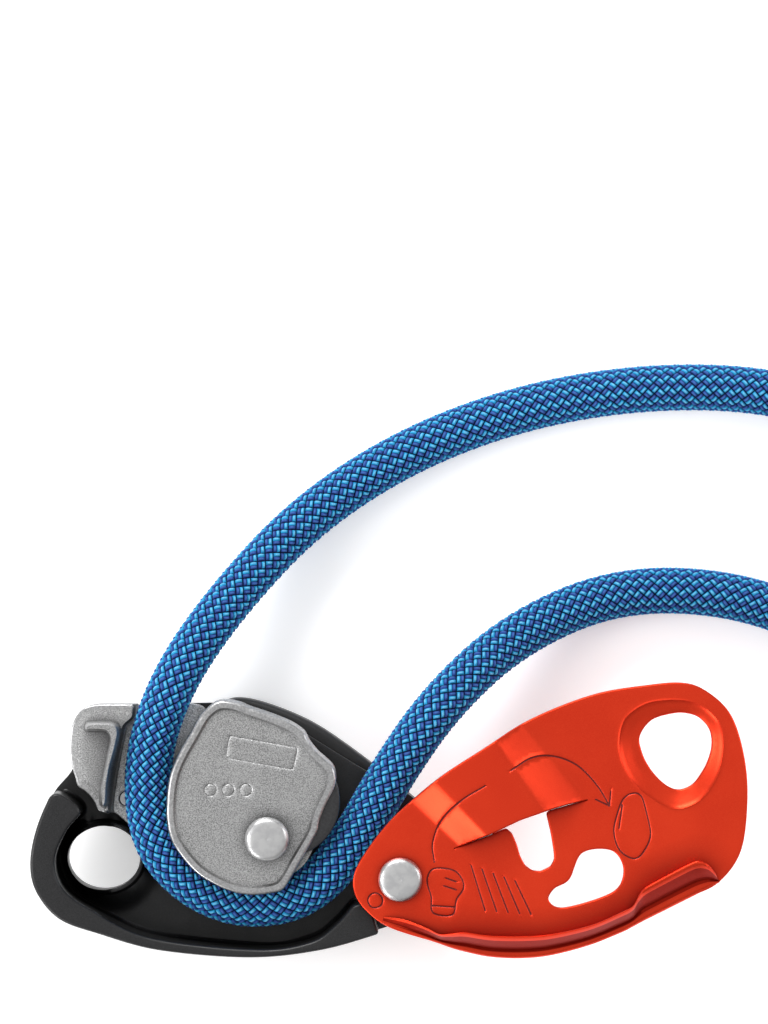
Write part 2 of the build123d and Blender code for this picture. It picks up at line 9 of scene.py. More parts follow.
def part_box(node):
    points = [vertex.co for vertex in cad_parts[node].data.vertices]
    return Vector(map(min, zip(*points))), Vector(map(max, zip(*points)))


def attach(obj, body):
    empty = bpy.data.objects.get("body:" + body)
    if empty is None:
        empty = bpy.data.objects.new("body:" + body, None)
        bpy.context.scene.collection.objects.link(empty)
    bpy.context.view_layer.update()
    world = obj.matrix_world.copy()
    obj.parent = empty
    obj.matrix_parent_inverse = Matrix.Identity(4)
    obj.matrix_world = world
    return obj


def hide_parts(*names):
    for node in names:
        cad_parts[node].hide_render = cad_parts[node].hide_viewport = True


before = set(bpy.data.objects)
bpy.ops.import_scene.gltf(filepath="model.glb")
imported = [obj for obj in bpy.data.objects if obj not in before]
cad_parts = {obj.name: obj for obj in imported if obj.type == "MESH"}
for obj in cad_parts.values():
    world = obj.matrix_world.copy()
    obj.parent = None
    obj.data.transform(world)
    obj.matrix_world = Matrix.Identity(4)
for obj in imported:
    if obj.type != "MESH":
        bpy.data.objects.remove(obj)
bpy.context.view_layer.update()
MM = 0.001
CURVE_STEPS = np.linspace(0, 1, 24, endpoint=False)[:, None, None]   # between two points of a curve
ROUND_STEPS = 96                                                      # round a turned part


# ---- Outlines. Every outline is in millimetres in the row frame, and a loop is an
# array of points that runs anticlockwise round its shape.

def lengths(line):
    """Distance along a line of points, at each of them."""
    return np.r_[0, np.cumsum(np.linalg.norm(np.diff(line, axis=0), axis=1))]


def points_at(line, along, at):
    """Points of a line at given distances along it."""
    return np.column_stack([np.interp(at, along, column) for column in line.T])


def resample(dense, spacing):
    """Evenly spaced points on a closed chain of points."""
    ring = np.vstack([dense, dense[:1]])
    along = lengths(ring)
    count = max(8, int(round(along[-1] / spacing)))
    return points_at(ring, along, np.linspace(0, along[-1], count, endpoint=False))


def catmull_rom(before, start, after, later, t):
    return 0.5 * (2 * start + (after - before) * t + (2 * before - 5 * start + 4 * after - later) * t ** 2
                  + (3 * start - before - 3 * after + later) * t ** 3)


def anticlockwise(loop):
    return loop if area(loop) > 0 else loop[::-1]


def smooth_loop(points, spacing=0.5):
    """A closed Catmull-Rom curve through the points, evenly resampled."""
    p = np.array(points, float)
    curve = catmull_rom(np.roll(p, 1, 0), p, np.roll(p, -1, 0), np.roll(p, -2, 0), CURVE_STEPS)
    return anticlockwise(resample(curve.transpose(1, 0, 2).reshape(-1, 2), spacing))


def round_loop(centre, rx, ry=None, spacing=0.5):
    """An ellipse."""
    turn = np.linspace(0, tau, 360, endpoint=False)
    dense = np.column_stack([centre[0] + rx * np.cos(turn), centre[1] + (ry or rx) * np.sin(turn)])
    return resample(dense, spacing)


def corner_loop(corners, radius, spacing=0.3):
    """A polygon with its corners rounded, by smoothing a dense chain."""
    chain = resample(np.array(corners, float), spacing)
    for _ in range(int((radius / spacing) ** 2 * 2)):
        chain = (np.roll(chain, 1, 0) + 2 * chain + np.roll(chain, -1, 0)) / 4
    return anticlockwise(chain)


def area(loop):
    x, y = loop.T
    return 0.5 * np.sum(x * np.roll(y, -1) - np.roll(x, -1) * y)


def outward(loop):
    """Unit normals of a loop, pointing away from its inside."""
    along = np.roll(loop, -1, 0) - np.roll(loop, 1, 0)
    along /= np.linalg.norm(along, axis=1, keepdims=True)
    return np.column_stack([along[:, 1], -along[:, 0]])


def inside(points, loop):
    """Which points lie inside a loop."""
    result = np.zeros(len(points), bool)
    x, y = points.T
    for (x0, y0), (x1, y1) in zip(loop, np.roll(loop, -1, 0)):
        crosses = (y0 > y) != (y1 > y)
        if y1 != y0:
            result ^= crosses & (x < (x1 - x0) * (y - y0) / (y1 - y0) + x0)
    return result


def distance(points, chain, closed=True):
    """Distance from each point to a chain of short straight lines."""
    ends = np.roll(chain, -1, 0) if closed else chain[1:]
    starts = chain if closed else chain[:-1]
    best = np.full(len(points), np.inf)
    for a, b in zip(starts, ends):
        run = b - a
        t = np.clip(((points - a) @ run) / max(run @ run, 1e-12), 0, 1)
        best = np.minimum(best, np.linalg.norm(points - a - t[:, None] * run, axis=1))
    return best


def ease(x):
    x = np.clip(x, 0, 1)
    return x * x * (3 - 2 * x)


# ---- Meshes ----

def new_object(name, vertices_mm, faces, sharp=35):
    """A smooth-shaded mesh object whose edges stay crisp above an angle."""
    mesh = bpy.data.meshes.new(name)
    mesh.from_pydata((np.asarray(vertices_mm) * MM).tolist(), [], [list(map(int, f)) for f in faces])
    mesh.validate()
    made = bpy.data.objects.new(name, mesh)
    bpy.context.scene.collection.objects.link(made)
    close_up(mesh)
    mesh.shade_smooth()
    mesh.set_sharp_from_angle(angle=radians(sharp))
    return made


def quads(rows, count, wrap_rows=False):
    """Faces between rings of points that follow each other."""
    faces = []
    for k in range(rows if wrap_rows else rows - 1):
        here, after = k * count, (k + 1) % rows * count
        for c in range(count):
            d = (c + 1) % count
            faces.append((here + c, here + d, after + d, after + c))
    return faces


def capped(rows, count):
    """The same, with both ends closed."""
    return [tuple(range(count)), tuple((rows - 1) * count + c for c in range(count))] + quads(rows, count)


def full_turn():
    return np.arange(ROUND_STEPS) / ROUND_STEPS * tau


def upright_rings(centre, profile):
    """Rings of points about an upright axis. The profile is radius and height."""
    turn = full_turn()
    return [np.column_stack([centre[0] + radius * np.cos(turn), centre[1] + radius * np.sin(turn),
                             np.full(ROUND_STEPS, float(z))]) for radius, z in profile]


def close_up(mesh):
    """Merges coinciding points, closes the mesh and turns its faces outwards."""
    work = bmesh.new()
    work.from_mesh(mesh)
    bmesh.ops.remove_doubles(work, verts=work.verts, dist=1e-8)
    bmesh.ops.holes_fill(work, edges=[edge for edge in work.edges if edge.is_boundary], sides=0)
    bmesh.ops.recalc_face_normals(work, faces=work.faces)
    if work.calc_volume(signed=True) < 0:
        bmesh.ops.reverse_faces(work, faces=work.faces)
    work.to_mesh(mesh)
    work.free()


def joined(name, parts):
    """Several closed shells as one object."""
    bpy.ops.object.select_all(action="DESELECT")
    for part in parts:
        part.select_set(True)
    bpy.context.view_layer.objects.active = parts[0]
    bpy.ops.object.join()
    parts[0].name = name
    parts[0].data.name = name
    return parts[0]


def triangulated(loops, spacing, extra):
    """Points and triangles that fill the first loop less the others. The loops' own points come first."""
    rim = np.vstack(loops)
    edges, start = [], 0
    for loop in loops:
        n = len(loop)
        edges += [(start + k, start + (k + 1) % n) for k in range(n)]
        start += n
    low, high = rim.min(0), rim.max(0)
    xs = np.arange(low[0], high[0], spacing)
    ys = np.arange(low[1], high[1], spacing * 0.866)
    gx, gy = np.meshgrid(xs, ys)
    gx[1::2] += spacing / 2
    grid = np.column_stack([gx.ravel(), gy.ravel()])

    def in_domain(points):
        keep = inside(points, loops[0])
        for hole in loops[1:]:
            keep &= ~inside(points, hole)
        return keep

    def clear_of_rim(points, gap):
        keep = in_domain(points)
        for loop in loops:
            keep[keep] = distance(points[keep], loop) > gap
        return points[keep]

    grid = clear_of_rim(grid, spacing * 0.5)
    if len(extra):
        extra = clear_of_rim(np.asarray(extra), 0.05)
        near = np.array([np.min(np.sum((extra - p) ** 2, axis=1)) for p in grid]) if len(grid) else grid
        grid = grid[near > (spacing * 0.45) ** 2]
        grid = np.vstack([extra, grid])
    points = np.vstack([rim, grid])
    out, _, faces, origin, _, _ = geometry.delaunay_2d_cdt([tuple(p) for p in points], edges, [], 0, 1e-5)
    out = np.array([tuple(v) for v in out])
    index = {}
    for k, sources in enumerate(origin):
        for s in sources:
            index[s] = k
    order = [index[k] for k in range(len(rim))]
    rest = sorted(set(range(len(out))) - set(order))
    place = np.empty(len(out), int)
    place[order + rest] = np.arange(len(out))
    out = out[order + rest]
    faces = place[np.array(faces)]
    middle = out[faces].mean(1)
    return out, faces[in_domain(middle)]


def relief(name, outer, holes, top, bottom, edge_top=0.4, edge_bottom=0.3, spacing=1.0, extra=(), steps=4,
           flare=None):
    """A closed plate whose top and bottom are height fields, with rounded edges.

    top and bottom are heights or functions of points. flare gives the radius, at points on the rim, of a
    fillet that spreads the side outwards at its foot, where the plate stands on another one."""
    loops = [outer] + list(holes)
    away = [outward(loop) * (1 if k == 0 else -1) for k, loop in enumerate(loops)]

    rim, normals = np.vstack(loops), np.vstack(away)

    def rim_at(inset):
        return rim - normals * np.reshape(inset, (-1, 1))

    def height(field, points):
        return np.asarray(field(points) if callable(field) else np.full(len(points), float(field)))

    inset_loops = [loop - normal * edge_top for loop, normal in zip(loops, away)]
    cap, triangles = triangulated(inset_loops, spacing, extra)
    rim_count = sum(len(loop) for loop in loops)
    rings = []
    for k in range(1, steps + 1):
        turn = k / steps * pi / 2
        points = rim_at(edge_top * (1 - sin(turn)))
        rings.append(np.column_stack([points, height(top, points) - edge_top * (1 - cos(turn))]))
    turn_in = -flare(rim) if flare else edge_bottom
    for k in range(steps):
        turn = k / steps * pi / 2
        points = rim_at(turn_in * (1 - cos(turn)))
        rings.append(np.column_stack([points, height(bottom, points) + abs(turn_in) * (1 - sin(turn))]))
    foot = cap.copy()
    foot[:rim_count] = rim_at(turn_in)
    upper = np.column_stack([cap, height(top, cap)])
    lower = np.column_stack([foot, height(bottom, foot)])
    vertices = np.vstack([upper] + rings + [lower])
    faces = [tuple(t) for t in triangles]
    lower_at = len(upper) + len(rings) * rim_count
    faces += [tuple(lower_at + t[::-1]) for t in triangles]
    starts = [0] + [len(upper) + k * rim_count for k in range(len(rings))] + [lower_at]
    at = 0
    for loop in loops:
        n = len(loop)
        for here, below in zip(starts, starts[1:]):
            for k in range(n):
                a, b = at + k, at + (k + 1) % n
                faces.append((here + a, here + b, below + b, below + a))
        at += n
    return new_object(name, vertices, faces)


def paint_faces(piece, kinds, *materials):
    """Adds materials, and gives each face the one with its number."""
    for material in materials:
        piece.data.materials.append(material)
    numbers = np.zeros(len(piece.data.polygons), np.int32) + kinds
    piece.data.polygons.foreach_set("material_index", numbers)


def place_piece(piece, body, node):
    """Puts a piece on the body it rides on, and hides the CAD node it stands for."""
    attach(piece, body)
    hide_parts(node)


def face_middles(piece):
    return np.array([face.center[:] for face in piece.data.polygons]) / MM


def beside(chain, offsets, closed=True):
    """Rows of points that follow a chain on both sides, so that a crease is crisp."""
    along = (np.roll(chain, -1, 0) - np.roll(chain, 1, 0)) if closed else np.gradient(chain, axis=0)
    along /= np.maximum(np.linalg.norm(along, axis=1, keepdims=True), 1e-9)
    across = np.column_stack([along[:, 1], -along[:, 0]])
    return np.vstack([chain + across * offset for offset in offsets])


# ---- Camera, floor and light ----
VIEW_CENTRE = (-0.6, 64.7)          # what the middle of the picture looks at
VIEW_HEIGHT = 215.0
FOCUS_Z = 28.0
CAMERA_DISTANCE = 1500.0
LIGHTS = [                          # name, place, size and power
    ("key", (-0.25, 0.95, 0.55), (0.6, 0.35), 9.5), ("left", (-0.90, 0.00, 0.65), (0.4, 0.6), 5.5),
    ("right", (0.95, 0.30, 0.42), (0.4, 0.5), 2.6), ("low", (-0.75, -0.80, 0.42), (0.5, 0.3), 5.0),
]
LIGHTS_AIM = (0.0, 0.02, 0.0)
FLOOR = 3.0                         # half its side, in metres
FLOOR_GAP = 0.02 * MM


def add_camera():
    lens = bpy.data.cameras.new("camera")
    lens.sensor_fit = "VERTICAL"
    lens.sensor_height = 24.0
    lens.lens = lens.sensor_height * CAMERA_DISTANCE / VIEW_HEIGHT
    lens.clip_end = 20
    camera = bpy.data.objects.new("camera", lens)
    camera.location = (VIEW_CENTRE[0] * MM, VIEW_CENTRE[1] * MM, (FOCUS_Z + CAMERA_DISTANCE) * MM)
    bpy.context.scene.collection.objects.link(camera)
    bpy.context.scene.camera = camera


def add_light(name, place, size, power):
    light = bpy.data.lights.new(name, "AREA")
    light.shape = "RECTANGLE"
    light.size, light.size_y = size
    light.energy = power
    lamp = bpy.data.objects.new(name, light)
    lamp.location = place
    lamp.rotation_euler = (Vector(LIGHTS_AIM) - Vector(place)).to_track_quat("-Z", "Y").to_euler()
    bpy.context.scene.collection.objects.link(lamp)


def add_studio():
    bpy.context.scene.view_settings.view_transform = "Standard"
    world = bpy.data.worlds.new("world")
    bpy.context.scene.world = world
    world.use_nodes = True
    background = world.node_tree.nodes["Background"]
    background.inputs[0].default_value = (1, 1, 1, 1)
    # bright overhead and dim at the horizon, as under a light tent
    tree = world.node_tree
    place = tree.nodes.new("ShaderNodeTexCoord")
    parts = tree.nodes.new("ShaderNodeSeparateXYZ")
    height = tree.nodes.new("ShaderNodeMapRange")
    for value, socket in zip((-0.1, 0.95, 0.10, 0.82), (1, 2, 3, 4)):
        height.inputs[socket].default_value = value
    tree.links.new(place.outputs["Generated"], parts.inputs[0])
    tree.links.new(parts.outputs[2], height.inputs[0])
    tree.links.new(height.outputs[0], background.inputs[1])
    for light in LIGHTS:
        add_light(*light)
    mesh = bpy.data.meshes.new("floor")
    corners = [(-FLOOR, -FLOOR, 0), (FLOOR, -FLOOR, 0), (FLOOR, FLOOR, 0), (-FLOOR, FLOOR, 0)]
    mesh.from_pydata(corners, [], [(0, 1, 2, 3)])
    floor = bpy.data.objects.new("floor", mesh)
    bpy.context.scene.collection.objects.link(floor)
    floor.location.z = -FLOOR_GAP
    paint = Paint("floor_paint", (0.93, 0.93, 0.93), roughness=0.9, Emission_Strength=0.3)
    paint.set("Emission Color", (1, 1, 1, 1))
    floor.data.materials.append(paint.material)


# ---- Materials ----

class Paint:
    """A procedural material built up in a few calls. Its texture space is metres."""

    def __init__(self, name, colour, metallic=0.0, roughness=0.5, **sockets):
        self.material = bpy.data.materials.new(name)
        self.material.use_nodes = True
        self.tree = self.material.node_tree
        self.shader = self.tree.nodes["Principled BSDF"]
        self.set("Base Color", (*colour, 1))
        self.set("Metallic", metallic)
        self.set("Roughness", roughness)
        for socket, value in sockets.items():
            self.set(socket.replace("_", " "), value)
        self.normal = None
        coordinates = self.node("ShaderNodeTexCoord")
        self.place = coordinates.outputs["Object"]

    def set(self, socket, value):
        self.shader.inputs[socket].default_value = value

    def node(self, kind, inputs=None, **settings):
        made = self.tree.nodes.new(kind)
        for key, value in settings.items():
            setattr(made, key, value)
        for key, value in (inputs or {}).items():
            if isinstance(value, bpy.types.NodeSocket):
                self.tree.links.new(value, made.inputs[key])
            else:
                made.inputs[key].default_value = value
        return made

    def link(self, source, socket):
        self.tree.links.new(source, self.shader.inputs[socket])

    def noise(self, size_mm, detail=3.0, stretch=1):
        """Noise with features of about that size, finer along z by the stretch."""
        scaled = self.node("ShaderNodeVectorMath", {0: self.place, 1: (1, 1, stretch)}, operation="MULTIPLY")
        made = self.node("ShaderNodeTexNoise", {"Vector": scaled.outputs[0], "Scale": 1 / (size_mm * MM),
                                                "Detail": detail})
        return made.outputs["Fac"]

    def band(self, value, low, high, out_low=0.0, out_high=1.0):
        """value mapped from low..high to out_low..out_high, clamped."""
        made = self.node("ShaderNodeMapRange", {0: value, 1: low, 2: high, 3: out_low, 4: out_high})
        return made.outputs[0]

    def math(self, operation, *values):
        made = self.node("ShaderNodeMath", dict(enumerate(values)), operation=operation)
        return made.outputs[0]

    def mix(self, factor, first, second):
        """A colour between two colours or sockets."""
        made = self.node("ShaderNodeMix", data_type="RGBA")
        for key, value in (("Factor", factor), ("A", first), ("B", second)):
            socket = [s for s in made.inputs if s.name == key and s.enabled][0]
            if isinstance(value, bpy.types.NodeSocket):
                self.tree.links.new(value, socket)
            else:
                socket.default_value = value if key == "Factor" else (*value, 1)
        return [s for s in made.outputs if s.enabled][0]

    def shaded(self, colour, dark, distance_mm=3.0, low=0.25, high=0.95):
        """Painted shade: the colour, falling to the dark one in corners and under overhangs."""
        made = self.node("ShaderNodeAmbientOcclusion", {"Distance": distance_mm * MM}, samples=12)
        return self.mix(self.band(made.outputs["AO"], low, high), dark, colour)

    def bump(self, height, depth_mm, strength=1.0):
        """Adds relief of that depth to the surface."""
        settings = {"Strength": strength, "Distance": depth_mm * MM, "Height": height}
        made = self.node("ShaderNodeBump", settings)
        if self.normal:
            self.tree.links.new(self.normal, made.inputs["Normal"])
        self.normal = made.outputs["Normal"]
        self.link(self.normal, "Normal")


def cast_steel(name, tone, dark, reach_mm):
    """Blasted casting, with painted shade: it falls to the dark colour in corners within reach_mm. tone
    scales how light it is.
    """
    paint = Paint(name, (0.36, 0.36, 0.37), metallic=1.0, roughness=0.45)
    grain = paint.noise(0.24, 4)
    cloud = paint.noise(7, 2)
    ground = paint.mix(paint.band(cloud, 0.35, 0.65), (0.20 * tone,) * 3, (0.25 * tone,) * 3)
    speck = paint.mix(paint.band(grain, 0.38, 0.64), ground, (0.50 * tone,) * 3)
    # painted shade in corners and under overhangs
    paint.link(paint.shaded(speck, dark, reach_mm, 0.15, 0.9), "Base Color")
    paint.link(paint.band(grain, 0.3, 0.7, 0.55, 0.40), "Roughness")
    paint.bump(grain, 0.09, 0.75)
    paint.bump(paint.noise(1.1, 2), 0.06, 0.35)
    return paint.material


def plain_finish(name, colour, metallic, roughness, tint=None, dark=None, rough=None, bumps=()):
    """tint is a noise's size and detail, the range of it that counts and two colours, and dark is the painted
    shade they fall to in corners, and how far. rough is a noise's size and two roughnesses. A bump is a
    noise's size, detail and stretch along z, with its depth and strength."""
    paint = Paint(name, colour, metallic, roughness)
    if tint:
        noise, (low, high), first, second = tint
        shade = paint.mix(paint.band(paint.noise(*noise), low, high), first, second)
        paint.link(paint.shaded(shade, *dark) if dark else shade, "Base Color")
    if rough:
        size, smoothest, roughest = rough
        paint.link(paint.band(paint.noise(size), 0.3, 0.7, smoothest, roughest), "Roughness")
    for size, detail, stretch, depth, strength in bumps:
        paint.bump(paint.noise(size, detail, stretch), depth, strength)
    return name, paint.material


def rivet_steel(name, node):
    """Turned steel, with faint rings round the rivet's own middle."""
    paint = Paint(name, (0.62, 0.62, 0.625), metallic=1.0, roughness=0.38)
    low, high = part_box(node)
    back = (-(low.x + high.x) / 2, -(low.y + high.y) / 2, 0)
    offset = paint.node("ShaderNodeVectorMath", {0: paint.place, 1: back}, operation="ADD")
    flat = paint.node("ShaderNodeVectorMath", {0: offset.outputs[0], 1: (1, 1, 0)}, operation="MULTIPLY")
    radius = paint.node("ShaderNodeVectorMath", {0: flat.outputs[0]}, operation="LENGTH").outputs["Value"]
    rings = paint.math("SINE", paint.math("MULTIPLY", radius, tau / (0.16 * MM)))
    paint.bump(rings, 0.006, 0.25)
    paint.bump(paint.noise(0.35, 3), 0.03, 0.25)
    paint.bump(paint.band(radius, 0.0, 0.4 * MM), 0.1, 0.6)
    paint.link(paint.mix(paint.band(paint.noise(1.5, 3), 0.4, 0.6), (0.50, 0.50, 0.505), (0.57, 0.57, 0.57)),
               "Base Color")
    paint.link(paint.band(paint.noise(0.8, 3), 0.3, 0.7, 0.34, 0.42), "Roughness")
    return paint.material


def anodised_red():
    paint = Paint("anodised_red", (0.70, 0.040, 0.013), metallic=0.85, roughness=0.34)
    grain = paint.noise(0.14, 3)
    cloud = paint.noise(18, 2)
    tone = paint.mix(paint.band(cloud, 0.35, 0.65), (0.64, 0.030, 0.008), (0.73, 0.040, 0.011))
    speckled = paint.mix(paint.band(grain, 0.42, 0.72, 0, 0.4), tone, (0.82, 0.075, 0.024))
    # painted shade: the red falls to dark red in corners and beside the lip, within 7 mm
    paint.link(paint.shaded(speckled, (0.13, 0.003, 0.002), 7.0, 0.25, 0.97), "Base Color")
    paint.link(paint.band(grain, 0.3, 0.7, 0.31, 0.40), "Roughness")
    paint.bump(grain, 0.014, 0.45)
    return paint.material


def plain_finishes():
    """The finishes that need no nodes of their own, by name."""
    made = [
        # the rubbed rims of the castings; then the machined lobe under the cam's face, darkened as painted
        # shade where it lies under the face
        plain_finish("smooth_steel", (0.50, 0.50, 0.505), 1.0, 0.32,
                     ((0.4, 3), (0.35, 0.7), (0.32, 0.32, 0.325), (0.52, 0.52, 0.52)),
                     rough=(1.6, 0.28, 0.40), bumps=[(0.3, 3, 1, 0.02, 0.4)]),
        plain_finish("shadowed_steel", (0.045, 0.045, 0.047), 0.9, 0.36,
                     ((0.5, 3), (0, 1), (0.035, 0.035, 0.037), (0.075, 0.075, 0.077)),
                     bumps=[(0.3, 3, 5, 0.02, 0.4)]),
        plain_finish("small_steel", (0.55, 0.55, 0.56), 1.0, 0.32, rough=(0.6, 0.26, 0.40),
                     bumps=[(0.3, 3, 6, 0.02, 0.4)]),
        plain_finish("bronze", (0.50, 0.31, 0.13), 1.0, 0.45,
                     ((0.4, 3), (0, 1), (0.42, 0.25, 0.10), (0.58, 0.37, 0.16)),
                     bumps=[(0.12, 3, 1, 0.03, 0.5)]),
        # painted shade: the black falls to near black in corners, within 6 mm
        plain_finish("anodised_black", (0.012, 0.012, 0.013), 0.3, 0.36,
                     ((0.14, 3), (0.35, 0.7), (0.006, 0.006, 0.0065), (0.024, 0.024, 0.0255)),
                     dark=((0.001, 0.001, 0.001), 6.0), rough=(5, 0.30, 0.42),
                     bumps=[(0.14, 3, 1, 0.02, 0.5)]),
        # the outer slope of the lip, in a darker, rougher red that paints the shade it lies in, and the
        # bottoms of the engraved lines
        plain_finish("shaded_red", (0.38, 0.014, 0.005), 1.0, 0.42,
                     ((0.14, 3), (0.35, 0.7), (0.24, 0.009, 0.004), (0.33, 0.016, 0.007)),
                     bumps=[(0.14, 3, 1, 0.014, 0.45)]),
        plain_finish("engraved_red", (0.15, 0.006, 0.003), 0.4, 0.5,
                     ((0.2, 2), (0, 1), (0.10, 0.004, 0.003), (0.19, 0.008, 0.004)),
                     bumps=[(0.1, 2, 1, 0.02, 0.5)]),
        # painted shade: the plastic falls to near black in corners, within 3 mm
        plain_finish("black_plastic", (0.014, 0.014, 0.015), 0.0, 0.46,
                     ((0.18, 4), (0.4, 0.7), (0.006, 0.006, 0.0065), (0.016, 0.016, 0.017)),
                     dark=((0.002, 0.002, 0.002), 3.0), rough=(3, 0.40, 0.52),
                     bumps=[(0.18, 4, 1, 0.04, 0.6)]),
        plain_finish("nylon", (0.62, 0.60, 0.55), 0.0, 0.5,
                     ((0.6, 3), (0, 1), (0.56, 0.54, 0.49), (0.66, 0.64, 0.60)),
                     bumps=[(0.2, 3, 1, 0.02, 0.4)]),
        plain_finish("rope_end", (0.012, 0.022, 0.06), 0.0, 0.42,
                     bumps=[(0.9, 3, 1, 0.06, 0.5), (0.2, 3, 1, 0.02, 0.4)]),
    ]
    return dict(made)


# ---- Rope: a 10 mm kernmantle rope. The points are the route's own, in metres, and
# its three stretches share the two points where it enters and leaves the device.
ROUTE = [
    (0.1015, 0.0846, 0.005), (0.0920, 0.0882, 0.005), (0.0725, 0.0916, 0.005), (0.0487, 0.0908, 0.005),
    (0.0251, 0.0860, 0.005), (0.0027, 0.0770, 0.005), (-0.0171, 0.0639, 0.006), (-0.0324, 0.0476, 0.014),
    (-0.0437, 0.0319, 0.0215), (-0.0494, 0.0180, 0.0224), (-0.0508, 0.0050, 0.0224),
    (-0.0483, -0.0064, 0.0224), (-0.0399, -0.0148, 0.0224), (-0.0291, -0.0185, 0.0224),
    (-0.0168, -0.0161, 0.0224), (-0.0076, -0.0059, 0.0224), (0.0009, 0.0095, 0.0224),
    (0.0118, 0.0251, 0.0195), (0.0276, 0.0391, 0.010), (0.0487, 0.0481, 0.005), (0.0722, 0.0478, 0.005),
    (0.0935, 0.0404, 0.005), (0.1034, 0.0365, 0.005),
]
ENTRY_POINT = (-0.04655, 0.02495, 0.02195)
LEAVE_POINT = (-0.00335, 0.0018, 0.0224)
CLIMBER_ROUTE = ROUTE[:9] + [ENTRY_POINT]
BIGHT_ROUTE = [ENTRY_POINT] + ROUTE[9:16] + [LEAVE_POINT]
BRAKE_ROUTE = [LEAVE_POINT] + ROUTE[16:]

ROWS = 24                           # strands round the rope, half of them each way
AXIAL_STEP = 1.265 * MM             # between neighbouring crossings, along the rope
FINE = 8                            # mesh steps across a strand
VALLEY_R = 4.30 * MM                # bottom of the gaps
YARN_RISE = 0.70 * MM               # how far a yarn stands over them


def spline_line(points):
    """The route's own NURBS line as a chain of points."""
    curve = bpy.data.curves.new("route", "CURVE")
    curve.dimensions = "3D"
    spline = curve.splines.new("NURBS")
    spline.points.add(len(points) - 1)
    for control, point in zip(spline.points, points):
        control.co = (*point, 1)
    spline.order_u = 3
    spline.use_endpoint_u = True
    spline.resolution_u = 32
    holder = bpy.data.objects.new("route", curve)
    mesh = bpy.data.meshes.new_from_object(holder)
    line = np.array([v.co[:] for v in mesh.vertices])
    bpy.data.objects.remove(holder)
    bpy.data.curves.remove(curve)
    bpy.data.meshes.remove(mesh)
    return line


def travelling_frames(line, at):
    """Middle, side and other side of a frame carried along a line without twist."""
    middle = points_at(line, lengths(line), at)
    tangent = np.gradient(middle, axis=0)
    tangent /= np.linalg.norm(tangent, axis=1, keepdims=True)
    side = np.zeros_like(middle)
    current = np.array([0.0, 0.0, 1.0])
    for k, t in enumerate(tangent):
        current = current - t * (current @ t)
        current /= np.linalg.norm(current)
        side[k] = current
    return middle, side, np.cross(tangent, side)


def yarn_height(i, j):
    """Height of the braid, from 0 in the gaps to 1 on the yarns."""
    cell_i, cell_j = np.floor(i + 0.5), np.floor(j + 0.5)
    p, q = i - cell_i, j - cell_j
    over = (cell_i + cell_j) % 2 < 0.5
    across, along = np.where(over, p, q), np.where(over, q, p)
    u = np.abs(across) * 4 - 1
    crown = np.cos(np.clip(u, -1, 1) * pi / 2) ** 0.75
    crown = np.where(u < 0, 0.45 + 0.55 * crown, crown)
    return crown * np.cos(along * pi) ** 0.55


def braided_rope(names, line, cuts):
    """One braided sheath cut into named stretches that meet without a seam."""
    total = lengths(line)[-1]
    rows = int(total / AXIAL_STEP * FINE)
    middle, side, other = travelling_frames(line, np.arange(rows + 1) * AXIAL_STEP / FINE)
    round_count = ROWS * FINE
    m, half = np.meshgrid(np.arange(rows + 1), np.arange(round_count // 2), indexing="ij")
    k = 2 * half + m % 2
    height = yarn_height((m + k) / (2 * FINE), (m - k) / (2 * FINE))
    turn = k / round_count * tau
    radius = VALLEY_R + YARN_RISE * height
    x, y = (radius * np.cos(turn))[..., None], (radius * np.sin(turn))[..., None]
    points = (middle[:, None] + side[:, None] * x + other[:, None] * y).reshape(-1, 3)
    per_row = round_count // 2

    def index(row, step):
        return row * per_row + ((step % round_count) - row % 2) // 2

    row, half = (a.ravel() for a in np.meshgrid(np.arange(rows - 1), np.arange(per_row), indexing="ij"))
    step = 2 * half + row % 2
    corners = [(row, step), (row + 1, step + 1), (row + 2, step), (row + 1, step - 1)]
    faces = np.column_stack([index(*corner) for corner in corners])
    uv = np.stack([np.column_stack([(a + b) / (2 * FINE), (a - b) / (2 * FINE)]) for a, b in corners], axis=1)

    def mesh_from(name, verts, squares, corner_uv):
        mesh = bpy.data.meshes.new(name)
        mesh.vertices.add(len(verts))
        mesh.vertices.foreach_set("co", verts.astype(np.float32).ravel())
        mesh.loops.add(squares.size)
        mesh.loops.foreach_set("vertex_index", squares.astype(np.int32).ravel())
        mesh.polygons.add(len(squares))
        mesh.polygons.foreach_set("loop_start", np.arange(0, squares.size, 4, dtype=np.int32))
        mesh.update(calc_edges=True)
        layer = mesh.uv_layers.new(name="braid")
        layer.data.foreach_set("uv", corner_uv.astype(np.float32).ravel())
        mesh.shade_smooth()
        return mesh

    whole = mesh_from("whole_rope", points, faces, uv)
    normals = np.empty(len(points) * 3, np.float32)
    whole.vertex_normals.foreach_get("vector", normals)
    normals = normals.reshape(-1, 3)
    bpy.data.meshes.remove(whole)
    made = []
    middle_at = (row + 1) * AXIAL_STEP / FINE
    for name, start, end in zip(names, [-1.0] + cuts, cuts + [total + 1]):
        chosen = (middle_at >= start) & (middle_at < end)
        used, compact = np.unique(faces[chosen], return_inverse=True)
        mesh = mesh_from(name, points[used], compact.reshape(-1, 4), uv[chosen])
        close_up(mesh)
        mesh.normals_split_custom_set_from_vertices(normals[used].tolist())
        stretch = bpy.data.objects.new(name, mesh)
        bpy.context.scene.collection.objects.link(stretch)
        made.append(stretch)
    return made


# the sealed end: distance past the rope's last point, and radius
SLEEVE = [(-0.8, 4.70), (-0.6, 4.93), (-0.2, 5.0), (0.6, 5.0), (2.0, 4.97), (4.0, 4.98), (6.0, 4.95),
          (8.0, 4.98), (10.0, 4.94), (11.6, 4.96), (12.4, 4.93), (12.9, 4.75), (13.1, 4.45)]
MELTED_CORE = [(12.95, 4.2), (12.7, 4.05), (13.0, 3.7), (13.5, 3.0), (13.8, 2.1), (13.95, 1.0), (14.0, 0.3)]
ROPE_R, CORE_R = 5.0, 4.6


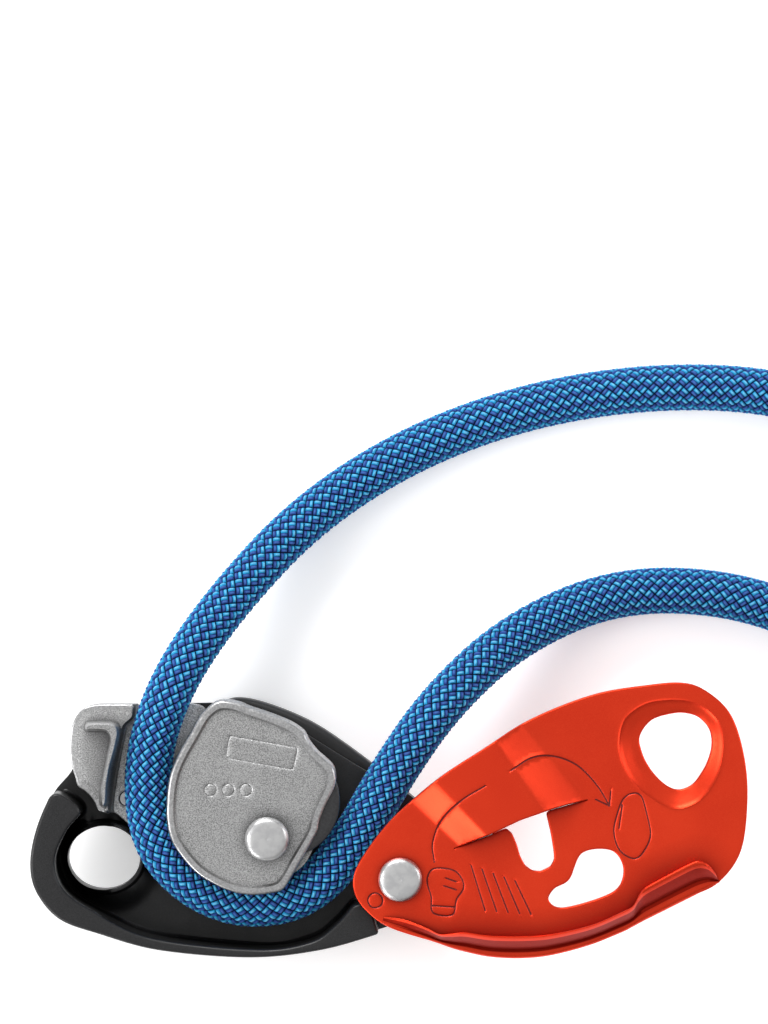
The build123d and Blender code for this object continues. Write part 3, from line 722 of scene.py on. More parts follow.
def sealed_end(name, tip, behind):
    """Heat-shrink sleeve over the end of the rope, with its melted core showing."""
    tip, behind = np.array(tip), np.array(behind)
    axis = (tip - behind) / np.linalg.norm(tip - behind)
    side = np.cross(axis, [0, 0, 1.0])
    side /= np.linalg.norm(side)
    up = np.cross(side, axis)
    profile = SLEEVE + MELTED_CORE
    turn = full_turn()
    spokes = np.outer(np.cos(turn), side) + np.outer(np.sin(turn), up)
    rings = []
    for z, r in profile:
        ripple = 0.035 * np.sin(12 * turn + z * 1.5) + 0.03 * np.sin(5 * turn - z)
        radius = np.minimum(r + ripple * (r > CORE_R), ROPE_R)
        rings.append(tip / MM + axis * z + spokes * radius[:, None])
    return new_object(name, np.vstack(rings), capped(len(profile), ROUND_STEPS), sharp=60)


def rope_sheath():
    """Two yarns to a strand, one bright and one violet blue, with painted shade in the gaps and along the
    split between the yarns, a painted highlight along each yarn's crown, and fine filaments.
    """
    paint = Paint("rope_sheath", (0.02, 0.08, 0.5), roughness=0.8, Specular_IOR_Level=0.12)
    do = paint.math
    uv = paint.node("ShaderNodeUVMap", uv_map="braid").outputs["UV"]
    i, j = paint.node("ShaderNodeSeparateXYZ", {0: uv}).outputs[:2]
    cell_i, cell_j = do("FLOOR", do("ADD", i, 0.5)), do("FLOOR", do("ADD", j, 0.5))
    p, q = do("SUBTRACT", i, cell_i), do("SUBTRACT", j, cell_j)
    half_sum = do("MULTIPLY", do("ADD", cell_i, cell_j), 0.5)
    odd = do("GREATER_THAN", do("FRACT", do("ADD", half_sum, 0.01)), 0.25)
    even = do("SUBTRACT", 1.0, odd)
    across = do("ADD", do("MULTIPLY", p, even), do("MULTIPLY", q, odd))
    along = do("ADD", do("MULTIPLY", q, even), do("MULTIPLY", p, odd))
    second = do("GREATER_THAN", across, 0.0)
    vary = paint.noise(1.4, 2)
    bright = paint.mix(vary, (0.008, 0.205, 0.460), (0.028, 0.395, 0.740))
    violet = paint.mix(vary, (0.014, 0.036, 0.185), (0.034, 0.088, 0.350))
    yarn = paint.mix(second, bright, violet)
    filament = do("SINE", do("ADD", do("MULTIPLY", across, tau * 14), do("MULTIPLY", along, tau * 1.5)))
    edge, reach = do("ABSOLUTE", across), do("ABSOLUTE", along)
    from_crown = do("ABSOLUTE", do("SUBTRACT", edge, 0.25))
    # painted highlight: a lighter blue along each yarn's crown, streaked by the filaments
    crown = do("MULTIPLY", paint.band(from_crown, 0.16, 0.02), paint.band(reach, 0.38, 0.15))
    crown_highlight = do("MULTIPLY", crown, paint.band(filament, -1, 1, 0.10, 0.60))
    lit = paint.mix(crown_highlight, yarn, paint.mix(second, (0.42, 0.84, 1.0), (0.11, 0.29, 0.67)))
    # painted shade: near black in the gaps round each yarn, and along the split between a strand's two yarns
    gap = do("MAXIMUM", paint.band(edge, 0.38, 0.46), paint.band(reach, 0.38, 0.46))
    split_shade = paint.band(edge, 0.06, 0.0, 0.0, 0.85)
    paint.link(paint.mix(do("MAXIMUM", gap, split_shade), lit, (0.0006, 0.004, 0.024)), "Base Color")
    paint.bump(filament, 0.035, 0.6)
    paint.bump(paint.noise(0.12, 3), 0.02, 0.4)
    return paint.material


def add_rope(finishes):
    stretches = [spline_line(route) for route in (CLIMBER_ROUTE, BIGHT_ROUTE, BRAKE_ROUTE)]
    line = np.vstack([stretches[0], stretches[1][1:], stretches[2][1:]])
    first, second = (lengths(stretch)[-1] for stretch in stretches[:2])
    pieces = braided_rope(("climber_strand", "bight", "brake_strand"), line, [first, first + second])
    ends = [sealed_end("climber_rope_end", ROUTE[0], ROUTE[1]),
            sealed_end("brake_rope_end", ROUTE[-1], ROUTE[-2])]
    nodes = ("rope_climber_strand", "rope_bight", "rope_brake_strand", "rope_end_climber", "rope_end_brake")
    for piece, node in zip(pieces + ends, nodes):
        slot = "rope_end" if piece in ends else "rope_sheath"
        paint_faces(piece, 0, finishes[slot])
        place_piece(piece, "fixed_plate", node)


# ---- Moving side plate: pressed red sheet ----
Z_COVER = 31.0
SHEET = 2.0
PLATE_TOP = Z_COVER + SHEET
PIVOT = (2.8, -12.2)
PLATE_OUTLINE = [
    (-3.6, -5.2), (0.6, 0.0), (4.8, 4.0), (11.1, 9.4), (19.5, 14.9), (27.9, 20.2), (36.3, 24.1), (44.7, 26.9),
    (53.1, 28.3), (61.5, 29.0), (66.8, 27.3), (72.0, 22.3), (74.8, 13.7), (75.5, 4.2), (74.1, -6.3),
    (69.5, -12.8), (63.4, -15.9), (57.3, -18.9), (48.9, -23.3), (40.5, -26.5), (27.9, -28.6), (19.5, -27.9),
    (11.1, -25.6), (0.6, -22.3), (-4.6, -18.5), (-6.9, -14.7), (-6.7, -10.5),
]
CARABINER_HOLE = [
    (53.0, 17.7), (53.5, 14.3), (54.9, 11.4), (56.9, 8.9), (59.2, 7.1), (61.5, 6.6), (64.0, 7.7),
    (65.8, 10.0), (67.2, 12.7), (68.0, 16.0), (67.5, 19.2), (65.4, 21.6), (62.9, 22.5), (60.0, 22.5),
    (55.5, 21.1),
]
CARABINER_RING = [
    (48.6, 16.6), (49.4, 20.6), (51.4, 23.0), (54.4, 24.7), (57.6, 25.3), (60.8, 25.4), (64.0, 24.9),
    (67.4, 23.1), (69.6, 20.3), (70.4, 16.4), (69.9, 11.8), (68.7, 8.5), (66.8, 5.7), (64.3, 3.6),
    (61.0, 2.6), (58.0, 3.2), (55.6, 4.6), (53.0, 6.6), (50.8, 9.2), (49.2, 12.6),
]
WINDOW = [
    (40.9, -6.7), (46.8, -6.1), (49.4, -9.4), (48.6, -13.6), (44.7, -16.0), (36.8, -18.1), (33.9, -16.6),
    (35.0, -14.2), (38.2, -12.2),
]
# the slit that lets the bridge stand up, and the slot that runs out of it
SLIT_UPPER = [(13.9, -5.9), (21.6, -2.6), (27.9, 0.35), (34.2, 2.55), (37.4, 3.4), (42.3, 4.5)]
SLIT_WIDTH = 0.1
SLOT = [
    (33.3, 1.7), (34.3, -2.6), (34.9, -6.3), (35.0, -8.0), (34.2, -9.5), (32.1, -10.5), (30.4, -10.3),
    (28.9, -9.2), (27.9, -7.3), (27.2, -4.8), (26.2, -2.5), (25.0, -1.45),
]
BRIDGE_LIFT = 4.8
BRIDGE_BENDS = [                    # foot and top of its left leg, top and foot of its right one
    [(5.25, 3.57), (14.91, -5.25)], [(10.5, 8.4), (21.0, -2.73)],
    [(23.0, 16.2), (32.2, 2.6)], [(28.56, 20.16), (42.0, 4.2)],
]
RING_DEPTH, RING_SLOPE, RING_BEND = 1.4, 0.42, 12
RING_CLEAR = 54.6                   # from the pivot, where the back may sink too
BEAD_RISE, BEAD_WIDTH = 0.16, 0.42
GROOVE_DEPTH, GROOVE_WIDTH = 0.20, 0.30
PIVOT_HOLE_R = 3.1
# pairs of points across the lip, from its right end: outline, free edge, rise
LIP = [
    ((69.7, -12.7), (69.2, -12.0), 0.5), ((68.6, -13.3), (68.4, -10.5), 3.2),
    ((67.2, -14.0), (66.9, -8.9), 4.7), ((65.2, -15.0), (65.1, -8.3), 5.0),
    ((62.6, -16.3), (63.5, -8.7), 5.0), ((59.0, -18.1), (59.4, -10.8), 5.0),
    ((55.6, -19.8), (55.3, -13.0), 5.0), ((54.0, -20.6), (53.6, -14.1), 5.0),
    ((52.9, -21.2), (52.6, -15.4), 5.0), ((51.3, -22.1), (51.3, -17.6), 5.0),
    ((48.9, -23.3), (48.9, -18.9), 5.0), ((42.0, -26.0), (42.6, -21.6), 5.0),
    ((34.2, -28.0), (34.2, -23.5), 5.0), ((27.9, -28.6), (27.9, -23.9), 5.0),
    ((21.6, -28.3), (21.6, -23.8), 5.0), ((16.6, -27.3), (16.2, -23.1), 4.9),
    ((13.6, -26.5), (13.4, -23.4), 4.0), ((11.0, -25.6), (11.0, -23.5), 3.0),
    ((8.0, -24.6), (8.2, -22.2), 2.1), ((4.0, -23.3), (3.6, -20.6), 1.2),
    ((-1.0, -21.4), (-0.6, -20.0), 0.2),
]
# section of the lip: how far across it, height over the sheet's face per rise, and height added to that
LIP_SECTION = [
    (0.30, 0.0, -1.9), (0.06, 0.0, -1.85), (-0.01, 0.0, -1.4), (-0.02, 0.0, -0.8), (0.0, 0.01, -0.25),
    (0.07, 0.03, 0.08), (0.16, 0.06, 0.10), (0.25, 0.08, 0.0), (0.32, 0.07, -0.1), (0.38, 0.10, -0.1),
    (0.44, 0.22, 0.0), (0.52, 0.38, 0.0), (0.66, 0.60, 0.0), (0.80, 0.80, 0.0), (0.90, 0.94, 0.0),
    (0.96, 0.995, 0.0), (1.0, 0.99, 0.0), (1.03, 0.94, 0.0), (1.02, 0.86, 0.0), (0.94, 0.66, 0.0),
    (0.84, 0.42, 0.0), (0.72, 0.14, -0.1), (0.66, 0.0, -0.5), (0.6, 0.0, -1.5),
]
SLOPE_COLUMNS = (7, 13)             # the section's columns on its outer slope


def soft_ramp(f):
    """0 below 0 and 1 above 1, straight between, with rounded bends."""
    sharp = 16
    return (np.logaddexp(0, sharp * f) - np.logaddexp(0, sharp * (f - 1))) / sharp


def off_line(points, line):
    """Signed distance from a line, positive on its right."""
    a, b = np.array(line[0]), np.array(line[1])
    run = (b - a) / np.linalg.norm(b - a)
    return -((points - a) @ np.array([-run[1], run[0]]))


def bridge_lift(points):
    foot_l, top_l, top_r, foot_r = BRIDGE_BENDS
    from_foot, from_top = -off_line(points, foot_l), -off_line(points, top_l)
    left = from_foot / np.maximum(from_foot - from_top, 0.5)
    from_foot, from_top = off_line(points, foot_r), off_line(points, top_r)
    right = from_foot / np.maximum(from_foot - from_top, 0.5)
    lift = BRIDGE_LIFT * soft_ramp(np.minimum(left, right))
    # the sheared edge, carried on straight past both of its ends
    sheared = np.array([(-30.0, -25.0)] + SLIT_UPPER + [(100.0, 17.4)])
    low_side = points[:, 1] < np.interp(points[:, 0], *sheared.T) - 0.15
    return np.where(low_side, 0.0, lift)


def ring_sink(points, ring):
    """How far the face is pressed down inside the ring round the carabiner hole."""
    slope = RING_SLOPE * np.where(inside(points, ring), distance(points, ring), 0)
    return RING_DEPTH - np.logaddexp(0, RING_BEND * (RING_DEPTH - slope)) / RING_BEND


def back_sink(points, ring):
    """The same for the back, which stays nearly flat where the closed plate passes over the cam."""
    past_cam = np.linalg.norm(points - np.array(PIVOT), axis=1) - RING_CLEAR
    return np.minimum(ring_sink(points, ring), 0.2 + 1.2 * np.maximum(past_cam, 0))


def engraved(strokes):
    """The strokes as chains of points at most about 0.32 apart."""
    chains = []
    for stroke in strokes:
        line = np.array(stroke, float)
        along = lengths(line)
        chains.append(points_at(line, along, np.linspace(0, along[-1], max(2, int(along[-1] / 0.32)))))
    return chains


def arc_points(centre, radius, start, end, count=40):
    turn = np.radians(np.linspace(start, end, count))
    return np.column_stack([centre[0] + radius * np.cos(turn), centre[1] + radius * np.sin(turn)])


def marks():
    """Engraved marks of the part's own design: a rope path, a grip, five blank lines and a snap hook."""
    entry = open_curve([(9.9, -8.4), (9.6, -4.6), (11.4, 0.2), (15.4, 4.4), (20.6, 7.6)])
    leaving = open_curve([(25.8, 10.7), (30.2, 13.3), (34.8, 13.6), (39.8, 11.7), (43.9, 7.6), (46.6, 3.2)])
    arrow = [(43.6, 4.6), (46.6, 3.2), (46.9, 6.4)]
    grip = smooth_loop([(8.4, -12.6), (9.4, -10.2), (12.2, -9.9), (14.9, -10.9), (16.1, -13.8), (14.6, -16.4),
                        (13.7, -19.6), (9.7, -19.2), (9.3, -15.9)], 0.3)
    cuff = [(9.5, -17.7), (14.2, -18.0)]
    fingers = [[(12.3, -11.9), (14.6, -12.7)], [(11.8, -13.5), (14.6, -14.4)]]
    lines = [[(17.6 + k * 2.3, -9.2 - k * 0.8), (20.6 + k * 2.4, -18.8 - k * 0.2)] for k in range(5)]
    hook = corner_loop([(49.4, 5.4), (53.2, 6.4), (55.6, -3.4), (52.4, -8.6), (48.4, -6.4), (47.2, -2.0)],
                       1.5)
    gate = [(49.3, 3.4), (48.6, -1.6)]
    dot = round_loop((-2.4, -16.6), 1.55, spacing=0.3)
    closed = [np.vstack([loop, loop[:1]]) for loop in (grip, hook, dot)]
    return [entry, leaving, arrow, cuff, gate, *fingers, *lines, *closed]


def lip_piece():
    stations = np.array([[*outer, *free, rise] for outer, free, rise in LIP])
    at = np.linspace(0, len(stations) - 1, 220)
    k = np.clip(at.astype(int), 0, len(stations) - 2)
    t = (at - k)[:, None]
    p0, p1 = stations[np.maximum(k - 1, 0)], stations[k]
    p2, p3 = stations[k + 1], stations[np.minimum(k + 2, len(stations) - 1)]
    rows = catmull_rom(p0, p1, p2, p3, t)
    section = np.array(LIP_SECTION)
    vertices = []
    for x0, y0, x1, y1, rise in rows:
        run = np.array([x1 - x0, y1 - y0])
        width = np.linalg.norm(run)
        for across, per_rise, plus in section:
            xy = np.array([x0, y0]) + run * across
            if across <= 0.02:
                xy = xy - run / max(width, 1e-6) * 0.06
            vertices.append((*xy, PLATE_TOP + per_rise * min(rise, 4.98) + plus))
    return new_object("lip", vertices, capped(len(rows), len(section)), sharp=50)


def red_plate(finishes):
    outline = smooth_loop(PLATE_OUTLINE, 0.55)
    hole, ring = smooth_loop(CARABINER_HOLE, 0.45), smooth_loop(CARABINER_RING, 0.45)
    window = smooth_loop(WINDOW, 0.45)
    upper = np.array(SLIT_UPPER)
    lower = upper.copy()
    lower[1:-1, 1] -= SLIT_WIDTH
    left_part = [tuple(p) for p in lower[1:-1] if p[0] < SLOT[-1][0]]
    right_part = [tuple(p) for p in lower[1:-1] if p[0] > SLOT[0][0]]
    slot = corner_loop([tuple(p) for p in upper] + right_part[::-1] + SLOT + left_part[::-1], 0.35, 0.3)
    pivot_hole = round_loop(PIVOT, PIVOT_HOLE_R, spacing=0.4)
    strokes = engraved(marks())
    creases = [beside(np.linspace(foot, top, 60), (-0.5, -0.25, 0, 0.25, 0.5), closed=False)
               for foot, top in BRIDGE_BENDS]
    grooves = [beside(chain, (-0.32, -0.18, 0, 0.18, 0.32), closed=False) for chain in strokes]
    ring_rows = [beside(ring, (0.45, 0.22, 0.0, -0.22, -0.45, -1.0))]

    def to_strokes(points):
        return np.min([distance(points, chain, closed=False) for chain in strokes], axis=0)

    def top(points):
        bead = BEAD_RISE * (1 - ease(distance(points, ring) / BEAD_WIDTH))
        face = PLATE_TOP + bridge_lift(points) - ring_sink(points, ring) + bead
        return face - GROOVE_DEPTH * (1 - ease(to_strokes(points) / GROOVE_WIDTH))

    def bottom(points):
        return Z_COVER + 0.05 + bridge_lift(points) - back_sink(points, ring)

    plate = relief("red_sheet", outline, [hole, window, slot, pivot_hole], top, bottom, edge_top=0.35,
                   edge_bottom=0.25, spacing=0.9, extra=np.vstack(creases + grooves + ring_rows), steps=3)
    engraving = to_strokes(face_middles(plate)[:, :2]) < 0.2
    ups = np.array([face.normal.z for face in plate.data.polygons])
    paint_faces(plate, engraving & (ups > 0.2), finishes["anodised_red"], finishes["engraved_red"])
    lip = lip_piece()
    columns = np.array([min(face.vertices) % len(LIP_SECTION) for face in lip.data.polygons])
    # the outer slope of the lip takes the darker red: painted shade
    first, end = SLOPE_COLUMNS
    paint_faces(lip, (columns >= first) & (columns < end), finishes["anodised_red"], finishes["shaded_red"])
    piece = joined("moving_plate_sheet", [plate, lip])
    place_piece(piece, "moving_plate", "moving_side_plate")


# ---- Solids of revolution and stacks of rings ----

def turned(name, centre, profile):
    """A closed solid of revolution about an upright axis."""
    return new_object(name, np.vstack(upright_rings(centre, profile)), capped(len(profile), ROUND_STEPS))


def stack(name, loop, profile):
    """A closed solid whose sections are one loop, moved inwards by the profile's insets."""
    away = outward(loop)
    rings = [np.column_stack([loop - away * inset, np.full(len(loop), float(z))]) for inset, z in profile]
    return new_object(name, np.vstack(rings), capped(len(profile), len(loop)))


def open_curve(points, spacing=0.5):
    """A Catmull-Rom curve through the points, ends included."""
    p = np.array(points, float)
    p = np.vstack([2 * p[0] - p[1], p, 2 * p[-1] - p[-2]])
    curve = catmull_rom(p[:-3], p[1:-2], p[2:-1], p[3:], CURVE_STEPS)
    dense = np.vstack([curve.transpose(1, 0, 2).reshape(-1, 2), p[-2]])
    along = lengths(dense)
    return points_at(dense, along, np.linspace(0, along[-1], max(2, int(round(along[-1] / spacing)) + 1)))


def plateau(points, loop, ramp):
    """1 well inside a loop and 0 outside it, with a rounded ramp just inside its edge."""
    return np.where(inside(points, loop), ease(distance(points, loop) / ramp), 0.0)


# ---- Fixed side plate: forged black wall with a rim, and a land round its hole ----
Z_PLATE = 9.5
Z_LINER = 12.5
Z_RIM = 29.2
AXLE = (-25.1, -3.7)
EYE = (-59.8, -8.4)
EYE_A, EYE_B = 7.6, 6.7
FIXED_NOSE = [
    (-66.2, 16.0), (-66.6, 10.4), (-70.6, 5.2), (-73.7, -2.1), (-74.9, -9.4), (-73.5, -15.3), (-68.7, -20.8),
    (-60.3, -23.9), (-47.7, -27.3), (-28.8, -28.8), (-14.1, -27.3), (-1.5, -23.8), (8.0, -20.4),
]
FIXED_TAIL = [
    (8.0, -20.4), (12.4, -13.7), (11.1, -3.1), (5.5, 4.2), (-4.6, 9.9), (-15.5, 16.6), (-22.0, 20.6),
    (-32.0, 23.8), (-40.0, 24.2), (-51.9, 23.8), (-60.9, 23.4), (-64.6, 20.4), (-66.2, 16.0),
]
RIM_INNER = [
    (-64.2, 1.4), (-67.4, -2.4), (-69.7, -8.4), (-68.0, -14.3), (-61.9, -18.9), (-49.8, -24.6),
    (-27.7, -27.1), (-16.2, -25.6), (-10.9, -22.1), (-7.0, -17.8),
]
NOSE_LAND = [(-67.0, -1.0), (-60.5, -0.2), (-56.9, -1.2), (-56.9, -15.6), (-60.8, -17.4), (-66.0, -15.8),
             (-69.6, -8.4)]
LAND_RISE, WEB_RISE, LAND_SLOPE = 8.5, 2.2, 4.5
EYE_LIP, EYE_LIP_RISE = 1.3, 2.6
DRIVE_R, DRIVE_SLOT = 9.5, 1.25
DRIVE_START, DRIVE_END = 37.5, 210.9
LINER_RIVETS = [(-60.0, 12.0), (-55.0, 4.0)]
RIVET_HOLE_R, PIVOT_SEAT_R = 2.85, 4.85
WEB, WEB_A, WEB_B = (-58.2, -9.8), 11.2, 10.6
FILLET = 1.3


def arc_slot_loop(centre, radius, half_width, start, end):
    last, first = (arc_points(centre, radius, angle, angle, 1)[0] for angle in (end, start))
    outer = arc_points(centre, radius + half_width, start, end, 60)
    cap = arc_points(last, half_width, end, end + 180, 12)
    inner = arc_points(centre, radius - half_width, end, start, 60)
    foot = arc_points(first, half_width, start + 180, start + 360, 12)
    return anticlockwise(resample(np.vstack([outer, cap[1:], inner[1:], foot[1:-1]]), 0.4))


def fixed_plate(finishes):
    nose, tail = open_curve(FIXED_NOSE, 0.6), open_curve(FIXED_TAIL, 0.6)
    outline = anticlockwise(resample(np.vstack([nose[:-1], tail[:-1]]), 0.6))
    eye = round_loop(EYE, EYE_A, EYE_B, 0.45)
    land = smooth_loop(NOSE_LAND, 0.5)
    web = round_loop(WEB, WEB_A, WEB_B, 0.5)
    lip = round_loop(EYE, EYE_A + EYE_LIP, EYE_B + EYE_LIP, 0.45)

    def top(points):
        land_rise = LAND_RISE * plateau(points, land, LAND_SLOPE)
        web_rise = WEB_RISE * plateau(points, web, LAND_SLOPE)
        return Z_LINER + np.maximum(land_rise, web_rise) + EYE_LIP_RISE * plateau(points, lip, 0.6)

    holes = [eye, arc_slot_loop(AXLE, DRIVE_R, DRIVE_SLOT, DRIVE_START, DRIVE_END),
             round_loop(PIVOT, PIVOT_SEAT_R, spacing=0.5)]
    holes += [round_loop(rivet, RIVET_HOLE_R, spacing=0.5) for rivet in LINER_RIVETS]
    rows = beside(lip, (0.1, -0.15, -0.35, -0.55, -0.75))
    wall = relief("wall", outline, holes, top, Z_PLATE, edge_top=0.3, edge_bottom=0.7, spacing=1.2,
                  extra=rows)
    inner = open_curve(RIM_INNER, 0.6)
    outer = nose[nose[:, 1] < 4.6]
    end = open_curve([(-71.2, 4.3), (-70.8, 4.9), (-69.2, 5.7), (-65.2, 3.3), (-64.2, 1.4)], 0.4)
    close = open_curve([(-7.0, -17.8), (-4.6, -17.5), (-2.9, -19.4), (-1.9, -23.0)], 0.4)
    outer = outer[outer[:, 0] < -1.4]
    chain = np.vstack([inner[:-1], close[:-1], outer[::-1], end[:-1]])
    rim_loop = corner_loop(chain, 0.5, 0.45)

    def fillet(points):
        return FILLET * ease((distance(points, outline) - 0.8) / 1.2)

    rim = relief("rim", rim_loop, [], Z_RIM, Z_LINER - 0.1, edge_top=0.7, spacing=1.4, steps=5, flare=fillet)
    piece = joined("fixed_plate_forging", [wall, rim])
    paint_faces(piece, 0, finishes["anodised_black"])
    place_piece(piece, "fixed_plate", "fixed_side_plate")


# ---- Friction plate: stainless liner with a raised pad and the rope's ridge ----
FRICTION_OUTLINE = [
    (-50.0, 24.2), (-56.0, 24.2), (-61.3, 24.1), (-64.2, 23.1), (-66.0, 20.6), (-66.6, 17.8), (-66.8, 14.6),
    (-66.4, 11.5), (-65.6, 8.8), (-64.9, 6.7), (-63.6, 5.8), (-61.9, 4.0), (-60.9, 2.0), (-59.8, 1.5),
    (-57.6, 0.9), (-55.8, -0.6), (-54.4, -1.7), (-50.0, -3.2), (-45.6, -4.2), (-42.0, -2.0), (-38.2, 4.2),
    (-37.4, 15.8), (-38.2, 22.6), (-42.0, 24.2),
]
PAD_EDGE = [
    (-58.4, -6.0), (-58.3, 2.4), (-57.6, 8.0), (-56.6, 13.5), (-55.7, 17.6), (-55.2, 19.6), (-53.9, 20.8),
    (-53.2, 22.0), (-53.0, 26.0),
]
RIDGE = [
    (-63.5, 20.7), (-60.0, 20.9), (-57.4, 20.8), (-56.1, 20.0), (-55.8, 18.2), (-56.5, 14.9), (-57.6, 11.0),
    (-58.2, 7.4), (-58.4, 3.4), (-59.4, 2.0), (-60.6, 2.9), (-60.5, 6.3), (-59.7, 10.5), (-58.9, 14.7),
    (-58.4, 17.2), (-59.0, 18.3), (-63.5, 18.4), (-63.9, 19.5),
]
LINER, PAD_RISE, RIDGE_RISE, PAD_CROWN = 2.0, 9.5, 5.0, 0.35


def friction_plate(finishes):
    outline = smooth_loop(FRICTION_OUTLINE, 0.45)
    ridge = corner_loop(RIDGE, 0.5, 0.3)
    pad_edge = open_curve(PAD_EDGE, 0.4)

    def top(points):
        side = points[:, 0] - np.interp(points[:, 1], pad_edge[:, 1], pad_edge[:, 0])
        pad = PAD_RISE * (1 - ease((side + 0.5) / 0.9))
        rise = RIDGE_RISE * plateau(points, ridge, 0.75)
        crown = PAD_CROWN * (ease(distance(points, outline) / 3.0) - 1)
        return Z_LINER + LINER + pad + rise + np.where(side < -1.0, crown, 0.0)

    rows = np.vstack([beside(ridge, (0.15, 0.0, -0.2, -0.4, -0.6, -0.85)),
                      beside(pad_edge, (-0.7, -0.45, -0.2, 0.05, 0.3, 0.5), closed=False)])
    rivet = round_loop(LINER_RIVETS[1], 1.58, spacing=0.3)
    piece = relief("friction_plate_casting", outline, [rivet], top, Z_LINER, edge_top=0.35, spacing=0.8,
                   extra=rows)
    middles = face_middles(piece)
    on_ridge = (distance(middles[:, :2], ridge) < 0.6) & (middles[:, 2] > 26.0)
    at_edge = (distance(middles[:, :2], outline) < 0.9) & (middles[:, 2] > 22.5)
    # faces low in the well, under 17 mm, take a lighter copy of the cast steel: painted light where the cam
    # and rope shade them
    kinds = np.where(on_ridge | at_edge, 1, np.where(middles[:, 2] < 17.0, 2, 0))
    paint_faces(piece, kinds, *(finishes[name] for name in ("cast_steel", "smooth_steel", "lit_liner_steel")))
    place_piece(piece, "fixed_plate", "friction_plate")


# ---- Cam: cast sheave with a recessed face ----
CAM_OUTLINE = [
    (-38.6, 22.7), (-36.1, 24.8), (-34.0, 25.2), (-30.9, 24.6), (-28.8, 23.7), (-24.6, 22.3), (-20.4, 20.6),
    (-18.3, 19.3), (-17.2, 18.3), (-16.2, 16.4), (-14.5, 14.3), (-13.0, 13.0), (-11.3, 11.3), (-10.7, 9.5),
    (-10.7, 8.0), (-11.3, 6.3), (-13.0, 2.9), (-14.1, 0.0), (-14.5, -2.1), (-15.8, -4.6), (-18.3, -8.8),
    (-20.4, -12.6), (-21.8, -14.5), (-23.5, -15.1), (-26.3, -15.5), (-28.8, -15.6), (-31.9, -15.1),
    (-35.1, -13.9), (-39.3, -11.5), (-42.4, -8.4), (-45.2, -4.2), (-46.2, 0.0), (-46.2, 4.2), (-45.9, 7.4),
    (-45.2, 10.5), (-43.5, 14.3), (-41.4, 17.9), (-39.7, 21.0),
]
CAM_CORE = [
    (-43.4, 9.0), (-42.7, 0.6), (-38.9, -7.0), (-33.5, -10.8), (-25.1, -11.7), (-18.9, -9.1), (-15.9, -3.7),
    (-14.2, 2.6), (-17.0, 11.0), (-25.1, 16.2), (-34.0, 19.2), (-41.0, 16.4),
]
CAM_BORE_R = 3.3
LOBE, LOBE_R = (-21.6, 4.0), 11.75
Z_FACE = 30.7
Z_FLANGE = 28.2
FACE_RECESS, LINE_DEPTH = 0.75, 0.18


def cam(finishes):
    outline = smooth_loop(CAM_OUTLINE, 0.45)
    edge = outward(outline)
    inner = corner_loop(outline - edge * 1.45, 0.9, 0.45)
    bore = round_loop(AXLE, CAM_BORE_R, spacing=0.4)
    field = corner_loop([(-33.0, 17.8), (-18.7, 15.3), (-19.7, 10.7), (-33.8, 13.2)], 0.4, 0.25)
    dots = [round_loop((x, 6.4), 1.25, spacing=0.25) for x in (-37.0, -33.3, -29.6)]

    def top(points):
        sunk = FACE_RECESS * plateau(points, inner, 0.5)
        line = np.min([distance(points, mark) for mark in [field] + dots], axis=0)
        return Z_FACE - sunk - LINE_DEPTH * (1 - ease(line / 0.26))

    fine = (-0.28, -0.14, 0.0, 0.14, 0.28)
    rows = np.vstack([beside(inner, (0.15, 0.0, -0.17, -0.34, -0.52)), beside(field, fine)]
                     + [beside(dot, fine) for dot in dots])
    front = relief("front", outline, [bore], top, Z_FLANGE, edge_top=0.75, edge_bottom=0.7, spacing=0.9,
                   extra=rows, steps=5)
    middles = face_middles(front)
    rubbed = ~inside(middles[:, :2], inner) & (middles[:, 2] > 29.0)
    skirt = stack("skirt", round_loop(LOBE, LOBE_R), [(0.5, 27.7), (0.1, 27.85), (0.0, 28.2), (0.0, 29.1),
                                                       (0.12, 29.45), (0.5, 29.65), (1.2, 29.7)])
    core = stack("core", smooth_loop(CAM_CORE, 0.6), [(-1.2, 16.8), (-1.0, 17.3), (-0.35, 18.1), (0.0, 19.3),
                                                      (0.1, 22.5), (0.0, 25.8), (-0.35, 27.2), (-1.0, 28.0),
                                                      (-1.2, 28.6)])
    rear = stack("rear", smooth_loop(CAM_OUTLINE, 0.6), [(1.0, 14.8), (0.35, 15.0), (0.0, 15.6), (0.0, 16.4),
                                                         (0.35, 17.0), (1.0, 17.2)])
    paint_faces(front, rubbed, finishes["cast_steel"], finishes["smooth_steel"])
    # the lobe under the face takes the darkened steel: painted shade
    paint_faces(skirt, 0, finishes["shadowed_steel"])
    paint_faces(core, 0, finishes["cast_steel"])
    paint_faces(rear, 0, finishes["smooth_steel"])
    place_piece(joined("cam_casting", [front, skirt, core, rear]), "cam", "cam")


# ---- Handle: moulded lever, its grip grooves on the back ----
HANDLE_TOP = 9.0
HUB_R, HUB_BORE_R = 13.0, 4.1
HUB_RECESS, HUB_RECESS_R = 2.9, 7.6
GRIP_PITCH, GRIP_LENGTH, GRIP_DEPTH = 2.6, 20.8, 0.65
LEVER = [(-34.0, 5.0), (-35.6, 22.0), (-30.9, 25.2), (-18.3, 21.2), (-7.8, 14.7), (5.5, 4.2), (13.4, -3.6),
         (13.8, -7.6), (9.6, -9.4)]
LEVER_UNDER = [(9.6, -9.4), (-2.0, -10.6), (-14.0, -10.5)]


